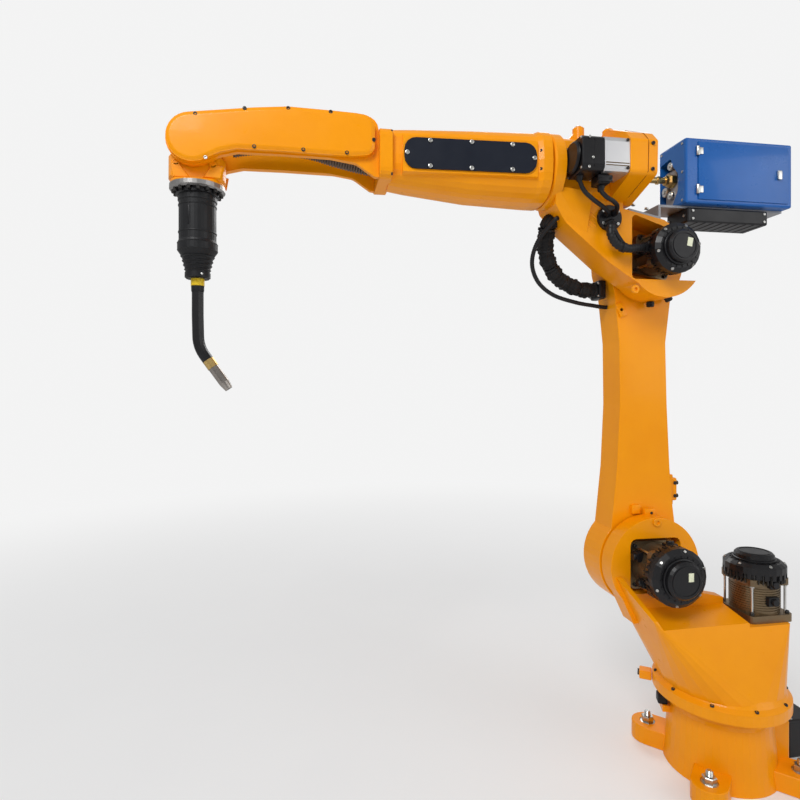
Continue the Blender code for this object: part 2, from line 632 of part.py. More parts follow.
def build_elbow():
    low = SPLIT_Y
    high = SPLIT_Y + ELBOW_WALL
    x, z = ELBOW_X, ELBOW_Z
    front = x + BELT_CASE_FRONT
    rear = front - BELT_CASE_LENGTH
    motor_y = BARREL_R + TWIST_MOTOR_OUT
    outline = arc((x, z), ELBOW_RIM_R, 160, 318, 26)
    outline += [(x + 0.148, z - 0.018), (x + 0.253, z + 0.068), (x + 0.283, z + 0.112), (x + 0.275, z + 0.150),
                (rear + 0.004, z + 0.150), (rear + 0.002, z + BAR_FRONT_Z), (x + BAR_REAR[0], z + BAR_REAR[1])]
    wall = flat("elbow_casting", outline, "XZ", low, high, PAINT)
    soften(wall, 0.007, 2, 50)
    knuckle = hull("elbow_knuckle", [
        Vector((x + dx, dy, z + dz)) for dx, dz, width in (
            (0.200, 0.140, 0.060), (0.290, 0.150, 0.062), (0.286, 0.112, 0.048),
            (0.255, 0.070, 0.038), (0.205, 0.045, 0.040)) for dy in (-width + 0.002, width)
    ], PAINT, cutter=True)
    slim = motor_y - TWIST_MOTOR_SIDE / 2 - 0.005
    barrel = turned("elbow_barrel", [
        (0, FLANGE_X), (FLANGE_R - 0.004, FLANGE_X), (FLANGE_R, FLANGE_X - 0.004),
        (FLANGE_R, FLANGE_X - FLANGE_LENGTH), (BARREL_R, FLANGE_X - FLANGE_LENGTH - 0.008),
        (BARREL_R, front - 0.010), (0, front - 0.010),
    ], (0, 0, FOREARM_Z), "X", PAINT, 48, cutter=True)
    saddle = block("motor_saddle", (front, slim, FOREARM_Z - 0.10),
                   (FLANGE_X - FLANGE_LENGTH - 0.001, 0.2, FOREARM_Z + 0.12), PAINT, cutter=True)
    cut(barrel, saddle)
    case_outline = rounded([
        (-0.066, FOREARM_Z - 0.074, 0.02), (0.030, FOREARM_Z - 0.078, 0.02),
        (motor_y + 0.040, FOREARM_Z - 0.040, 0.012), (motor_y + 0.042, FOREARM_Z + 0.034, 0.012),
        (motor_y + 0.020, FOREARM_Z + 0.058, 0.014), (0.040, FOREARM_Z + 0.098, 0.020),
        (-0.066, FOREARM_Z + 0.080, 0.030)])
    case = flat("belt_case", case_outline, "YZ", rear, front, PAINT, cutter=True)
    add(wall, knuckle, barrel, case)
    for i, dx in enumerate((0.206, 0.128)):
        ear = rod("lifting_ear_%d" % i, 0.014, FOREARM_Z + 0.03, FOREARM_Z + 0.116, (x + dx, 0, 0), "Z",
                  PAINT, 20, 0.004, cutter=True)
        rib = flat("ear_rib_%d" % i, [(x + dx + 0.045, FOREARM_Z + 0.060), (x + dx + 0.005, FOREARM_Z + 0.112),
                                      (x + dx, FOREARM_Z + 0.112), (x + dx, FOREARM_Z + 0.060)],
                   "XZ", -0.010, 0.010, PAINT, cutter=True)
        add(wall, ear, rib)
    window = flat("elbow_window", rounded([
        (x - 0.12, z - 0.055, 0), (x + 0.089, z - 0.055, 0.010), (x + 0.089, z + 0.102, 0.010),
        (x - 0.03, z + 0.062, 0.0), (x - 0.12, z + 0.035, 0)]), "XZ", low + 0.014, high + 0.05, PAINT, cutter=True)
    cut(wall, window)

    cover = flat("belt_cover", case_outline, "YZ", rear - BELT_COVER_LENGTH, rear - SEAT, PAINT)
    soften(cover, 0.012, 2, 50)
    side = TWIST_MOTOR_SIDE
    stator = flat("twist_motor_stator", box_outline((motor_y, FOREARM_Z), side, side, 0.012),
                  "YZ", front + SEAT, front + 0.060, SILVER)
    encoder = flat("twist_motor_encoder", box_outline((motor_y, FOREARM_Z), side, side, 0.014),
                   "YZ", front + 0.060 + SEAT, front + 0.112, BLACK)
    soften(encoder, 0.004, 1, 50)
    end_cap = rod("twist_motor_end_cap", 0.034, front + 0.112 + SEAT, front + 0.121,
                  (0, motor_y, FOREARM_Z), "X", BLACK, 32, 0.003)
    entry = turned("cable_entry_plate", [
        (0, high + 0.010), (ENTRY_PLATE_R - 0.002, high + 0.010), (ENTRY_PLATE_R, high + 0.008),
        (ENTRY_PLATE_R, high + SEAT), (0, high + SEAT)],
        (x + 0.150, 0, z + 0.086), "Y", BLACK, 32)
    motor = servo("elbow_motor", ELBOW_SERVO, "Y", (x, low + 0.014 + SEAT, z + 0.012), spin=-10)
    bumpers = []
    for label, angle in (("lower", -93.0), ("rear", -122.0)):
        a = math.radians(angle)
        spot = Vector((x + (ELBOW_RIM_R + SEAT) * math.cos(a), low + 0.016, z + (ELBOW_RIM_R + SEAT) * math.sin(a)))
        bumper = rod("elbow_bumper_" + label, 0.0095, -0.014, 0.0, (0, 0, 0), "Z", RUBBER, 20, 0.002)
        bumper.location = spot
        bumper.rotation_euler = (0, math.radians(90 + angle) * -1, 0)
        bumpers.append(bumper)
    return [wall, cover, stator, encoder, end_cap, entry, *motor, *bumpers, *build_leads(front)], front


def build_leads(front):
    """The twist motor's two leads and the elbow motor's conduit, all fixed to the elbow."""
    x, z = ELBOW_X, ELBOW_Z
    out = BARREL_R + TWIST_MOTOR_OUT
    under = FOREARM_Z - TWIST_MOTOR_SIDE / 2
    skin = SPLIT_Y + ELBOW_WALL
    plate_y = skin + 0.010 + SEAT
    plug = block("twist_motor_connector", (front + 0.036, out - 0.016, under - 0.022),
                 (front + 0.066, out + 0.022, under - SEAT), BLACK, 0.005)
    entry_x, entry_z = x + 0.150, z + 0.086
    power = tube("twist_power_lead", lead_route(
        (front + 0.051, out + 0.004, under - 0.022 - SEAT), (0, 0, -0.008),
        [(front + 0.049, out + 0.006, under - 0.056), (entry_x + 0.006, plate_y + 0.050, entry_z + 0.040)],
        (entry_x - 0.008, plate_y, entry_z + 0.010), (0, 0.010, 0), 0.013), LEAD_R, RUBBER)
    encoder = tube("twist_encoder_lead", lead_route(
        (front + 0.100, out, under - SEAT), (0, 0, -0.008),
        [(front + 0.088, out, under - 0.040), (front + 0.040, out - 0.010, under - 0.078)],
        (entry_x + 0.010, plate_y, entry_z + 0.006), (0, 0.010, 0), 0.013), LEAD_R, RUBBER)
    conduit = tube("elbow_motor_conduit", lead_route(
        (entry_x + 0.002, plate_y, entry_z - 0.014), (0, 0.008, 0),
        [(entry_x - 0.001, plate_y + 0.022, entry_z - 0.045), (x + 0.122, plate_y + 0.016, z + 0.014),
         (x + 0.094, plate_y + 0.006, z + 0.008), (x + 0.074, 0.036, z + 0.010)],
        (x + ELBOW_SERVO[0] * 0.46 + 2 * SEAT, 0.020, z + 0.012), (0.010, 0, 0), 0.015), LEAD_R + 0.001, RUBBER)
    return [plug, power, encoder, conduit]


def build_feeder():
    x, z = ELBOW_X, ELBOW_Z
    slope = (BAR_FRONT_Z - BAR_REAR[1]) / (BELT_CASE_FRONT - BELT_CASE_LENGTH + 0.002 - BAR_REAR[0])

    def bar(dx):
        return z + BAR_REAR[1] + (dx - BAR_REAR[0]) * slope + SEAT

    seat = z + FEEDER_SEAT_Z
    length, width, height = FEEDER_SIZE
    near = FEEDER_SIDE_Y
    far = near - width
    bracket = flat("feeder_bracket", [
        (x + 0.095, bar(0.095)), (x + 0.095, bar(0.095) + FEEDER_SHEET), (x + 0.018, bar(0.018) + FEEDER_SHEET),
        (x + 0.018, seat), (x - length - 0.030, seat), (x - length - 0.030, seat - FEEDER_SHEET),
        (x + 0.012, seat - FEEDER_SHEET), (x + 0.012, bar(0.012))], "XZ", SPLIT_Y + 0.007, 0.038, GREY)
    front = x + FEEDER_FRONT
    low = seat + SEAT
    body = block("feeder_case", (front - length, far, low), (front, near, low + height), BLUE, 0.005)
    opening = flat("feeder_opening", rounded([
        (far + 0.006, low + 0.006, 0.006), (0.012, low + 0.006, 0.006), (0.034, low + 0.040, 0.02),
        (0.034, FOREARM_Z + 0.006, 0.018), (0.012, FOREARM_Z + 0.034, 0.01), (0.006, FOREARM_Z + 0.0543, 0.01),
        (far + 0.006, FOREARM_Z + 0.0483, 0.006)]), "YZ", front - 0.055, front + 0.02, BLUE, cutter=True)
    cut(body, opening)
    drive = block("feeder_drive_unit", (front - 0.0547, far + 0.010, low + 0.012),
                  (front - 0.012, 0.0117, FOREARM_Z + 0.030), GREY, 0.004)
    adaptor = turned("torch_adaptor", [
        (0, front + 0.006), (0.012, front + 0.006), (0.017, front + 0.002), (0.017, front - 0.011),
        (0, front - 0.0117)], (0, 0, FOREARM_Z), "X", BRASS, 6)
    guide = rod("wire_guide_tube", WIRE_TUBE_R, front + 0.006 + SEAT,
                x + BELT_CASE_FRONT - BELT_CASE_LENGTH - BELT_COVER_LENGTH - SEAT,
                (0, 0, FOREARM_Z), "X", BRASS, 16)
    box = block("feeder_junction_box", (x - 0.270, -0.030, seat - FEEDER_SHEET - 0.036),
                (x - 0.050, near - 0.012, seat - FEEDER_SHEET - SEAT), BLACK, 0.004)
    return [bracket, body, drive, adaptor, guide, box]


# Forearm

def build_forearm():
    x0 = FLANGE_X + RUNNING
    x1 = ELBOW_X + TUBE_FRONT

    def ring(x, half_y, top, bottom, sides=28):
        points = []
        for i in range(sides):
            a = math.tau * i / sides
            c, s = math.cos(a), math.sin(a)
            up = top if s >= 0 else bottom
            power = 0.72
            points.append((x, half_y * math.copysign(abs(c) ** power, c),
                           FOREARM_Z + up * math.copysign(abs(s) ** power, s)))
        return points

    tube_body = loft("forearm_tube", [
        ring(x0, 0.083, 0.083, 0.083), ring(x0 + 0.022, 0.083, 0.083, 0.083),
        ring(x0 + 0.032, 0.077, 0.080, 0.084), ring(x0 + 0.180, 0.070, 0.076, 0.080),
        ring(x1 - 0.040, 0.062, 0.070, 0.064), ring(x1, 0.058, 0.068, 0.058)], PAINT)
    thick, wide, tall = FORK_PLATE
    plate_outline = box_outline((0, FOREARM_Z), wide, tall, 0.020, 4)
    plate = flat("fork_plate", plate_outline, "YZ", x1 - 0.004, x1 + thick, PAINT, cutter=True)
    soften(plate, 0.003, 1, 50)
    bearing = rod("twist_bearing", 0.070, FLANGE_X + SEAT, x0 + 0.01, (0, 0, FOREARM_Z), "X", PAINT, 40, cutter=True)
    add(tube_body, plate, bearing)

    pad_x = (x0 + 0.036, x1 - 0.026)
    pad_y = (0.0795, 0.0660)
    pad = hull("panel_pad", [
        Vector((pad_x[i], y, FOREARM_Z + dz)) for i in (0, 1)
        for y, dz in ((pad_y[i], -0.040), (pad_y[i], 0.040), (0.0, -0.055), (0.0, 0.055))], PAINT, cutter=True)
    add(tube_body, pad)
    run = pad_x[1] - pad_x[0]
    slant = math.atan2(pad_y[0] - pad_y[1], run)
    length = run / math.cos(slant)
    panel = flat("forearm_cover_panel", rounded([
        (0.003, -0.034, 0.026), (length - 0.003, -0.034, 0.026),
        (length - 0.003, 0.034, 0.026), (0.003, 0.034, 0.026)]), "XZ", SEAT, PANEL_THICKNESS, PANEL)
    panel.location = (pad_x[0], pad_y[0], FOREARM_Z)
    panel.rotation_euler = (0, 0, -slant)

    plate_face = x1 + thick
    fork_start = plate_face + SEAT
    pieces = [tube_body, panel]
    w, z = WRIST_X, FOREARM_Z
    crown = (plate_face + w) / 2

    def arm_outline(inset, start):
        """The arched side view that the two arms and their covers share."""
        root = start + inset
        outline = arc((w + 0.001, z + 0.006), TINE_R - inset, -112, 84, 18)
        outline += [(w - 0.052, z + 0.068 - inset), (w - 0.125, z + 0.0785 - inset), (crown, z + 0.086 - inset),
                    (plate_face + 0.102, z + 0.0845 - inset)]
        return outline, root

    for side, label in ((1, "near"), (-1, "far")):
        inner = FORK_GAP / 2
        outer = inner + TINE_THICKNESS
        lo, hi = (inner, outer) if side > 0 else (-outer, -inner)
        outline, root = arm_outline(0.0, fork_start)
        outline += rounded([(plate_face + 0.052, z + 0.083, 0.0), (root + 0.002, z + 0.080, 0.030), (root, z + 0.046, 0.0),
                            (root, z - 0.052, 0.0), (root + 0.010, z - 0.051, 0.008), (root + 0.050, z - 0.024, 0.03),
                            (plate_face + 0.107, z - 0.016, 0.03), (crown + 0.016, z - 0.015, 0.0),
                            (w - 0.090, z - 0.016, 0.010), (w - 0.056, z - 0.025, 0.0)])
        tine = flat(label + "_fork_arm", outline, "XZ", lo, hi, PAINT)
        soften(tine, 0.003, 1, 50)
        pieces.append(tine)
        c_lo = outer + SEAT
        c_hi = outer + COVER_THICKNESS
        if side < 0:
            c_lo, c_hi = -c_hi, -c_lo
        edge = COVER_INSET
        cover_outline, root = arm_outline(edge, fork_start + 0.006)
        cover_outline += rounded([(plate_face + 0.052, z + 0.083 - edge, 0.0), (root + 0.002, z + 0.079 - edge, 0.026),
                                  (root, z - 0.008, 0.024), (plate_face + 0.062, z - 0.0135, 0.02),
                                  (crown + 0.016, z - 0.015 + edge, 0.0), (w - 0.090, z - 0.016 + edge, 0.010),
                                  (w - 0.056, z - 0.025 + edge, 0.0)])
        cover = flat(label + "_belt_cover", cover_outline, "XZ", c_lo, c_hi, PAINT)
        soften(cover, 0.005, 2, 50)
        pieces.append(cover)
    inlet = fork_start
    conduit = tube("torch_conduit", lead_route(
        (inlet, 0.0, z - 0.012), (0.020, 0, 0), [(inlet + 0.090, 0.0, z + 0.002), (inlet + 0.160, 0.0, z + 0.018)],
        (w - 0.130, 0.0, z + 0.020), (-0.020, 0, 0), 0.030), CONDUIT_R, RUBBER, 3)
    pieces.append(conduit)
    return pieces


# Wrist and torch

def build_wrist():
    inner = FORK_GAP / 2 - RUNNING
    w, z = WRIST_X, FOREARM_Z
    drum = rod("wrist_housing", WRIST_R, -inner, inner, (w, 0, z), "Y", PAINT, 40, 0.003)
    bottom = z - WRIST_DROP
    collar = TOOL_RING_R - 0.001
    neck = turned("wrist_neck", [
        (0, z - 0.006), (0.046, z - 0.006), (0.059, z - 0.022), (0.0592, bottom + 0.012),
        (collar - 0.002, bottom + 0.0072), (collar, bottom + 0.0025), (collar, bottom), (0, bottom)],
        (w, 0, 0), "Z", PAINT, 40, cutter=True)
    for side in (-1, 1):
        cut(neck, hull("wrist_flat_%d" % side, [
            Vector((w + dx, side * y, z + dz)) for dx in (-0.1, 0.1)
            for y, dz in ((inner, 0.1), (inner, 0.0080 - WRIST_DROP), (inner + 0.026, 0.0005 - WRIST_DROP),
                          (0.2, 0.1), (0.2, 0.0005 - WRIST_DROP))],
            PAINT, cutter=True))
    trunnion = rod("wrist_trunnion", 0.034, -FORK_GAP / 2 + SEAT, FORK_GAP / 2 - SEAT,
                   (w, 0, z), "Y", PAINT, 32, cutter=True)
    add(drum, neck, trunnion)
    return [drum], bottom


def build_tool(bottom):
    top = bottom - SEAT
    at = (WRIST_X, 0, 0)
    ring = turned("tool_flange", [
        (0, top), (TOOL_RING_R, top), (TOOL_RING_R, top - 0.009), (TOOL_RING_R - 0.006, top - 0.012),
        (0, top - 0.012)], at, "Z", PLAIN_STEEL, 40)
    boot_top = top - 0.012 - SEAT
    boot_bottom = boot_top - BOOT_LENGTH
    boot = turned("torch_boot", [
        (0, boot_top), (BOOT_R, boot_top), (BOOT_R, boot_top - BOOT_LENGTH * 0.107),
        (BOOT_R - 0.002, boot_top - BOOT_LENGTH * 0.118), (BOOT_R - 0.002, boot_top - BOOT_LENGTH * 0.56),
        (BOOT_R + 0.001, boot_top - BOOT_LENGTH * 0.60), (BOOT_R + 0.001, boot_top - BOOT_LENGTH * 0.68),
        (BOOT_R - 0.008, boot_top - BOOT_LENGTH * 0.75), (0.026, boot_bottom + 0.020), (0.024, boot_bottom), (0, boot_bottom)],
        at, "Z", RUBBER, 36)
    band = turned("torch_band", [
        (0, boot_bottom - SEAT), (0.0155, boot_bottom - SEAT), (0.0155, boot_bottom - 0.026),
        (0.0140, boot_bottom - 0.028), (0, boot_bottom - 0.028)], at, "Z", YELLOW, 28)
    neck_top = boot_bottom - 0.028 - SEAT
    bend_z = neck_top - 0.095
    knots = [(WRIST_X, 0, neck_top), (WRIST_X, 0, neck_top - 0.050), (WRIST_X - 0.001, 0, bend_z)]
    for step in range(1, 7):
        a = math.radians(35 * step / 6)
        radius = 0.075
        knots.append((WRIST_X - 0.001 - radius * (1 - math.cos(a)), 0, bend_z - radius * math.sin(a)))
    end = Vector(knots[-1])
    down = Vector((-math.sin(math.radians(35)), 0, -math.cos(math.radians(35))))
    knots.append(tuple(end + down * 0.012))
    neck = tube("torch_neck", knots, NECK_R, BLACK, 3)
    end = Vector(knots[-1])
    tilt = (0, math.radians(35), 0)
    insulator = turned("torch_insulator", [
        (0, -SEAT), (0.0125, -SEAT), (0.0125, -0.020), (0, -0.020)], end, tilt, BRASS, 24)
    nozzle = turned("torch_nozzle", [
        (0, -0.020 - SEAT), (0.0115, -0.020 - SEAT), (0.0115, -0.060), (0.0085, -0.078),
        (0.0065, -0.078), (0.0065, -0.030), (0, -0.030)], end, tilt, PLAIN_STEEL, 24)
    return [ring, boot, band, neck, insulator, nozzle]


# Assembly: each body's pieces hang from an empty on its joint axis

def pivot(name, at, parent):
    empty = bpy.data.objects.new(name, None)
    empty.location = at
    ROBOT.objects.link(empty)
    bpy.context.view_layer.update()
    if parent:
        empty.parent = parent
        empty.matrix_parent_inverse = parent.matrix_world.inverted()
    return empty


def hang(pieces, parent):
    bpy.context.view_layer.update()
    for obj in pieces:
        obj.parent = parent
        obj.matrix_parent_inverse = parent.matrix_world.inverted()


def main():
    base = build_base()
    turret = build_turret()
    arm = build_lower_arm()
    elbow, case_front = build_elbow()
    feeder = build_feeder()
    loop, hose = build_harness()
    forearm = build_forearm()
    wrist, wrist_bottom = build_wrist()
    tool = build_tool(wrist_bottom)
    root = pivot("base_frame", (0, 0, 0), None)
    swivel = pivot("swivel_axis", (0, 0, TURNTABLE_Z), root)
    shoulder = pivot("shoulder_axis", (SHOULDER_FORWARD, 0, SHOULDER_HEIGHT), swivel)
    elbow_axis = pivot("elbow_axis", (ELBOW_X, 0, ELBOW_Z), shoulder)
    twist = pivot("forearm_axis", (FLANGE_X, 0, FOREARM_Z), elbow_axis)
    bend = pivot("wrist_axis", (WRIST_X, 0, FOREARM_Z), twist)
    spin = pivot("tool_axis", (WRIST_X, 0, wrist_bottom), bend)
    hang(base, root)
    hang(turret, swivel)
    hang(arm, shoulder)
    hang(elbow + feeder + loop + hose, elbow_axis)
    hang(forearm, twist)
    hang(wrist, bend)
    hang(tool, spin)


main()
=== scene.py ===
import json
import math

import bmesh
import bpy
from mathutils import Matrix, Vector


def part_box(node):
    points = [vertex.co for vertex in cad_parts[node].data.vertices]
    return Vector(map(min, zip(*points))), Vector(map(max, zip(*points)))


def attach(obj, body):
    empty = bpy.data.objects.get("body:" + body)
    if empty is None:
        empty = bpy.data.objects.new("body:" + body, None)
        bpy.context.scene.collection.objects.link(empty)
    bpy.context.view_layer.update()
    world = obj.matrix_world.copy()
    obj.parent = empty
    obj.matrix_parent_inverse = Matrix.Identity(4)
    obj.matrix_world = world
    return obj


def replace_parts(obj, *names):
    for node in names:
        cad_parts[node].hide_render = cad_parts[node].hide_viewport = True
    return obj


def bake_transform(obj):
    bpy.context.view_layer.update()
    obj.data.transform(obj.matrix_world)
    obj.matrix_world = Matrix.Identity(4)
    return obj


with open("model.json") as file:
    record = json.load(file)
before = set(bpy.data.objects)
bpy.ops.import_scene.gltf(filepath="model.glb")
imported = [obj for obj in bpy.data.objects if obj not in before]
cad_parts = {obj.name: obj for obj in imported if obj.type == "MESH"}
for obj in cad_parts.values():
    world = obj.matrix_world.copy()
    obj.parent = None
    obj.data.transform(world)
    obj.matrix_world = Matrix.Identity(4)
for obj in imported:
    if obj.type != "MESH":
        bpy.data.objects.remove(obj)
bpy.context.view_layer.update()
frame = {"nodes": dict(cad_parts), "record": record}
nodes = frame["nodes"]
bpy.context.scene.view_settings.view_transform = "Standard"
print("stage: frame loaded", len(nodes), "nodes")


# Materials, all procedural and in the object's own space

def newMaterial(name):
    mat = bpy.data.materials.new(name)
    mat.use_nodes = True
    tree = mat.node_tree
    tree.nodes.clear()
    out = tree.nodes.new("ShaderNodeOutputMaterial")
    shader = tree.nodes.new("ShaderNodeBsdfPrincipled")
    tree.links.new(shader.outputs[0], out.inputs[0])
    return mat, tree, shader


# Noise in object space, in features per metre
def noise(tree, scale, detail=3.0, rough=0.5, stretch=(1, 1, 1)):
    coord = tree.nodes.new("ShaderNodeTexCoord")
    place = tree.nodes.new("ShaderNodeMapping")
    place.inputs["Scale"].default_value = stretch
    tree.links.new(coord.outputs["Object"], place.inputs["Vector"])
    tex = tree.nodes.new("ShaderNodeTexNoise")
    tex.inputs["Scale"].default_value = scale
    tex.inputs["Detail"].default_value = detail
    tex.inputs["Roughness"].default_value = rough
    tree.links.new(place.outputs[0], tex.inputs["Vector"])
    return tex.outputs["Fac"]


# A texture's range mapped onto a shader range
def spread(tree, value, low, high, toLow, toHigh):
    node = tree.nodes.new("ShaderNodeMapRange")
    node.inputs["From Min"].default_value = low
    node.inputs["From Max"].default_value = high
    node.inputs["To Min"].default_value = toLow
    node.inputs["To Max"].default_value = toHigh
    tree.links.new(value, node.inputs["Value"])
    return node.outputs[0]


def mixColour(tree, factor, first, second):
    node = tree.nodes.new("ShaderNodeMix")
    node.data_type = "RGBA"
    tree.links.new(factor, node.inputs["Factor"])
    for socket, value in ((node.inputs[6], first), (node.inputs[7], second)):
        if isinstance(value, tuple):
            socket.default_value = (*value, 1.0)
        else:
            tree.links.new(value, socket)
    return node.outputs[2]


def addBump(tree, shader, height, strength, distance):
    bump = tree.nodes.new("ShaderNodeBump")
    bump.inputs["Strength"].default_value = strength
    bump.inputs["Distance"].default_value = distance
    tree.links.new(height, bump.inputs["Height"])
    tree.links.new(bump.outputs[0], shader.inputs["Normal"])
    return bump


# Paint, plastic or metal with slow colour drift, uneven gloss and a fine surface
def coated(name, colour, tint, rough, coat=0.0, metallic=0.0, grain=(60, 0.0004), grime=0.5, spec=0.5):
    mat, tree, shader = newMaterial(name)
    drift = spread(tree, noise(tree, 7.0, 4.0, 0.6), 0.35, 0.68, 0.0, grime)
    tree.links.new(mixColour(tree, drift, colour, tint), shader.inputs["Base Color"])
    tree.links.new(spread(tree, noise(tree, 24.0, 5.0, 0.62), 0.3, 0.7, rough * 0.82, rough * 1.22),
                   shader.inputs["Roughness"])
    shader.inputs["Metallic"].default_value = metallic
    shader.inputs["Specular IOR Level"].default_value = spec
    shader.inputs["Coat Weight"].default_value = coat
    shader.inputs["Coat Roughness"].default_value = 0.08
    addBump(tree, shader, noise(tree, grain[0], 3.0, 0.55), 0.35, grain[1])
    return mat


paint = coated("orangePaint", (0.95, 0.345, 0.0), (0.88, 0.285, 0.0), 0.33, coat=0.11, spec=0.20,
               grain=(95, 0.00035))
steel = coated("plainSteel", (0.56, 0.56, 0.57), (0.40, 0.39, 0.38), 0.28, metallic=1.0, grain=(260, 0.0001))
ringSteel = coated("ringSteel", (0.36, 0.35, 0.34), (0.24, 0.23, 0.22), 0.38, metallic=1.0, grain=(240, 0.0001))
silver = coated("motorAluminium", (0.72, 0.72, 0.73), (0.60, 0.60, 0.62), 0.34, metallic=0.85, grain=(200, 0.0001))
gunmetal = coated("motorCasting", (0.22, 0.155, 0.085), (0.10, 0.08, 0.06), 0.36, metallic=0.8, grain=(160, 0.0003))
black = coated("blackHousing", (0.007, 0.007, 0.0085), (0.017, 0.016, 0.017), 0.34, grain=(240, 0.0002), spec=0.3)
panelBlack = coated("blueBlackPanel", (0.006, 0.009, 0.018), (0.011, 0.014, 0.024), 0.38, grain=(200, 0.0002),
                    spec=0.26)
rubber = coated("blackRubber", (0.007, 0.0075, 0.009), (0.017, 0.017, 0.018), 0.44, grain=(180, 0.0003), spec=0.3)
cloth = coated("cableCloth", (0.010, 0.0095, 0.010), (0.026, 0.024, 0.024), 0.72, grain=(110, 0.0022), spec=0.25)
brass = coated("brassFitting", (0.62, 0.43, 0.16), (0.45, 0.30, 0.11), 0.30, metallic=1.0, grain=(260, 0.0001))
feederBlue = coated("feederBlue", (0.010, 0.115, 0.42), (0.007, 0.088, 0.33), 0.30, coat=0.20, grain=(120, 0.0002),
                    spec=0.3)
conduitMetal = coated("conduitMetal", (0.16, 0.115, 0.085), (0.06, 0.045, 0.04), 0.30, metallic=0.75,
                      grain=(300, 0.0001))
spattered = coated("spatteredSteel", (0.40, 0.37, 0.34), (0.12, 0.10, 0.085), 0.26, metallic=1.0,
                   grain=(330, 0.0004), grime=0.9)
blankLabel = coated("blankLabel", (0.80, 0.82, 0.62), (0.62, 0.66, 0.34), 0.45, grain=(300, 0.0001))
greyPlate = coated("greyPlate", (0.33, 0.34, 0.36), (0.24, 0.25, 0.27), 0.42, metallic=0.3, grain=(180, 0.0002))
yellow = coated("yellowRing", (0.86, 0.62, 0.02), (0.70, 0.48, 0.02), 0.42, grain=(180, 0.0002))

slotMaterials = {
    "orange_paint": paint, "plain_steel": steel, "motor_aluminium": silver, "motor_casting": gunmetal,
    "black_housing": black, "blue_black_panel": panelBlack, "black_rubber": rubber,
    "black_cable_cloth": cloth, "brass_fitting": brass, "feeder_blue": feederBlue,
    "grey_plate": greyPlate, "yellow_ring": yellow,
}
for part in frame["record"]["subparts"]:
    mesh = nodes[part["node"]].data
    mesh.materials.clear()
    mesh.materials.append(slotMaterials[part["material_slot"]])
nodes["torch_nozzle"].data.materials[0] = spattered
nodes["tool_flange"].data.materials[0] = ringSteel
print("stage: materials")


# Shape helpers: every detail is built in robot coordinates, and rides on a body where one is given

wristAt = Vector((1.267, 0.0, 1.465))
axisZ = wristAt.z  # height of the forearm's axis
splitY = -0.047  # plane between the lower arm and its two castings


def aim(place, axis, spin=0.0):
    turn = Vector(axis).normalized().to_track_quat("Z", "Y").to_matrix().to_4x4()
    return Matrix.Translation(Vector(place)) @ turn @ Matrix.Rotation(math.radians(spin), 4, "Z")


# Rings of (radius, height), from one end to the other, round the local Z axis
def spun(shape, profile, frameAt, steps=20):
    rings = []
    for radius, height in profile:
        if radius <= 0.0:
            rings.append([shape.verts.new(frameAt @ Vector((0, 0, height)))])
            continue
        rings.append([shape.verts.new(frameAt @ Vector((radius * math.cos(math.tau * k / steps),
                                                        radius * math.sin(math.tau * k / steps), height)))
                      for k in range(steps)])
    for low, high in zip(rings, rings[1:]):
        for k in range(steps):
            n = (k + 1) % steps
            if len(low) == 1:
                shape.faces.new((low[0], high[n], high[k]))
            elif len(high) == 1:
                shape.faces.new((low[k], low[n], high[0]))
            else:
                shape.faces.new((low[k], low[n], high[n], high[k]))


def boxed(shape, size, frameAt, edge=0.0):
    part = bmesh.new()
    bmesh.ops.create_cube(part, size=1.0)
    for vert in part.verts:
        vert.co = Vector((vert.co.x * size[0], vert.co.y * size[1], vert.co.z * size[2]))
    if edge > 0.0:
        bmesh.ops.bevel(part, geom=list(part.edges), offset=edge, segments=2, affect="EDGES", profile=0.6)
    part.transform(frameAt)
    mesh = bpy.data.meshes.new("boxPart")
    part.to_mesh(mesh)
    part.free()
    shape.from_mesh(mesh)
    bpy.data.meshes.remove(mesh)


def swept(shape, points, radius, sides=12, caps=True):
    points = [Vector(p) for p in points]
    normal = None
    rings = []
    for i, point in enumerate(points):
        ahead = (points[min(i + 1, len(points) - 1)] - points[max(i - 1, 0)]).normalized()
        if normal is None:
            normal = ahead.orthogonal().normalized()
        normal = (normal - ahead * normal.dot(ahead)).normalized()
        side = ahead.cross(normal)
        r = radius(i, len(points)) if callable(radius) else radius
        rings.append([shape.verts.new(point + normal * (r * math.cos(math.tau * k / sides))
                                      + side * (r * math.sin(math.tau * k / sides))) for k in range(sides)])
    for low, high in zip(rings, rings[1:]):
        for k in range(sides):
            n = (k + 1) % sides
            shape.faces.new((low[k], low[n], high[n], high[k]))
    if caps:
        shape.faces.new(rings[0][::-1])
        shape.faces.new(rings[-1])


def route(knots, spacing):
    knots = [Vector(k) for k in knots]
    padded = [2 * knots[0] - knots[1], *knots, 2 * knots[-1] - knots[-2]]
    dense = []
    for i in range(1, len(padded) - 2):
        a, b, c, d = padded[i - 1:i + 3]
        for k in range(32):
            t = k / 32
            dense.append(0.5 * ((2 * b) + (c - a) * t + (2 * a - 5 * b + 4 * c - d) * t * t
                                + (3 * b - a - 3 * c + d) * t ** 3))
    dense.append(knots[-1])
    length = sum((q - p).length for p, q in zip(dense, dense[1:]))
    count = max(3, round(length / spacing))
    points, walked, target = [dense[0]], 0.0, length / count
    for p, q in zip(dense, dense[1:]):
        step = (q - p).length
        while step > 0 and walked + step >= target - 1e-9 and len(points) < count:
            points.append(p.lerp(q, (target - walked) / step))
            target += length / count
        walked += step
    points.append(dense[-1])
    return points


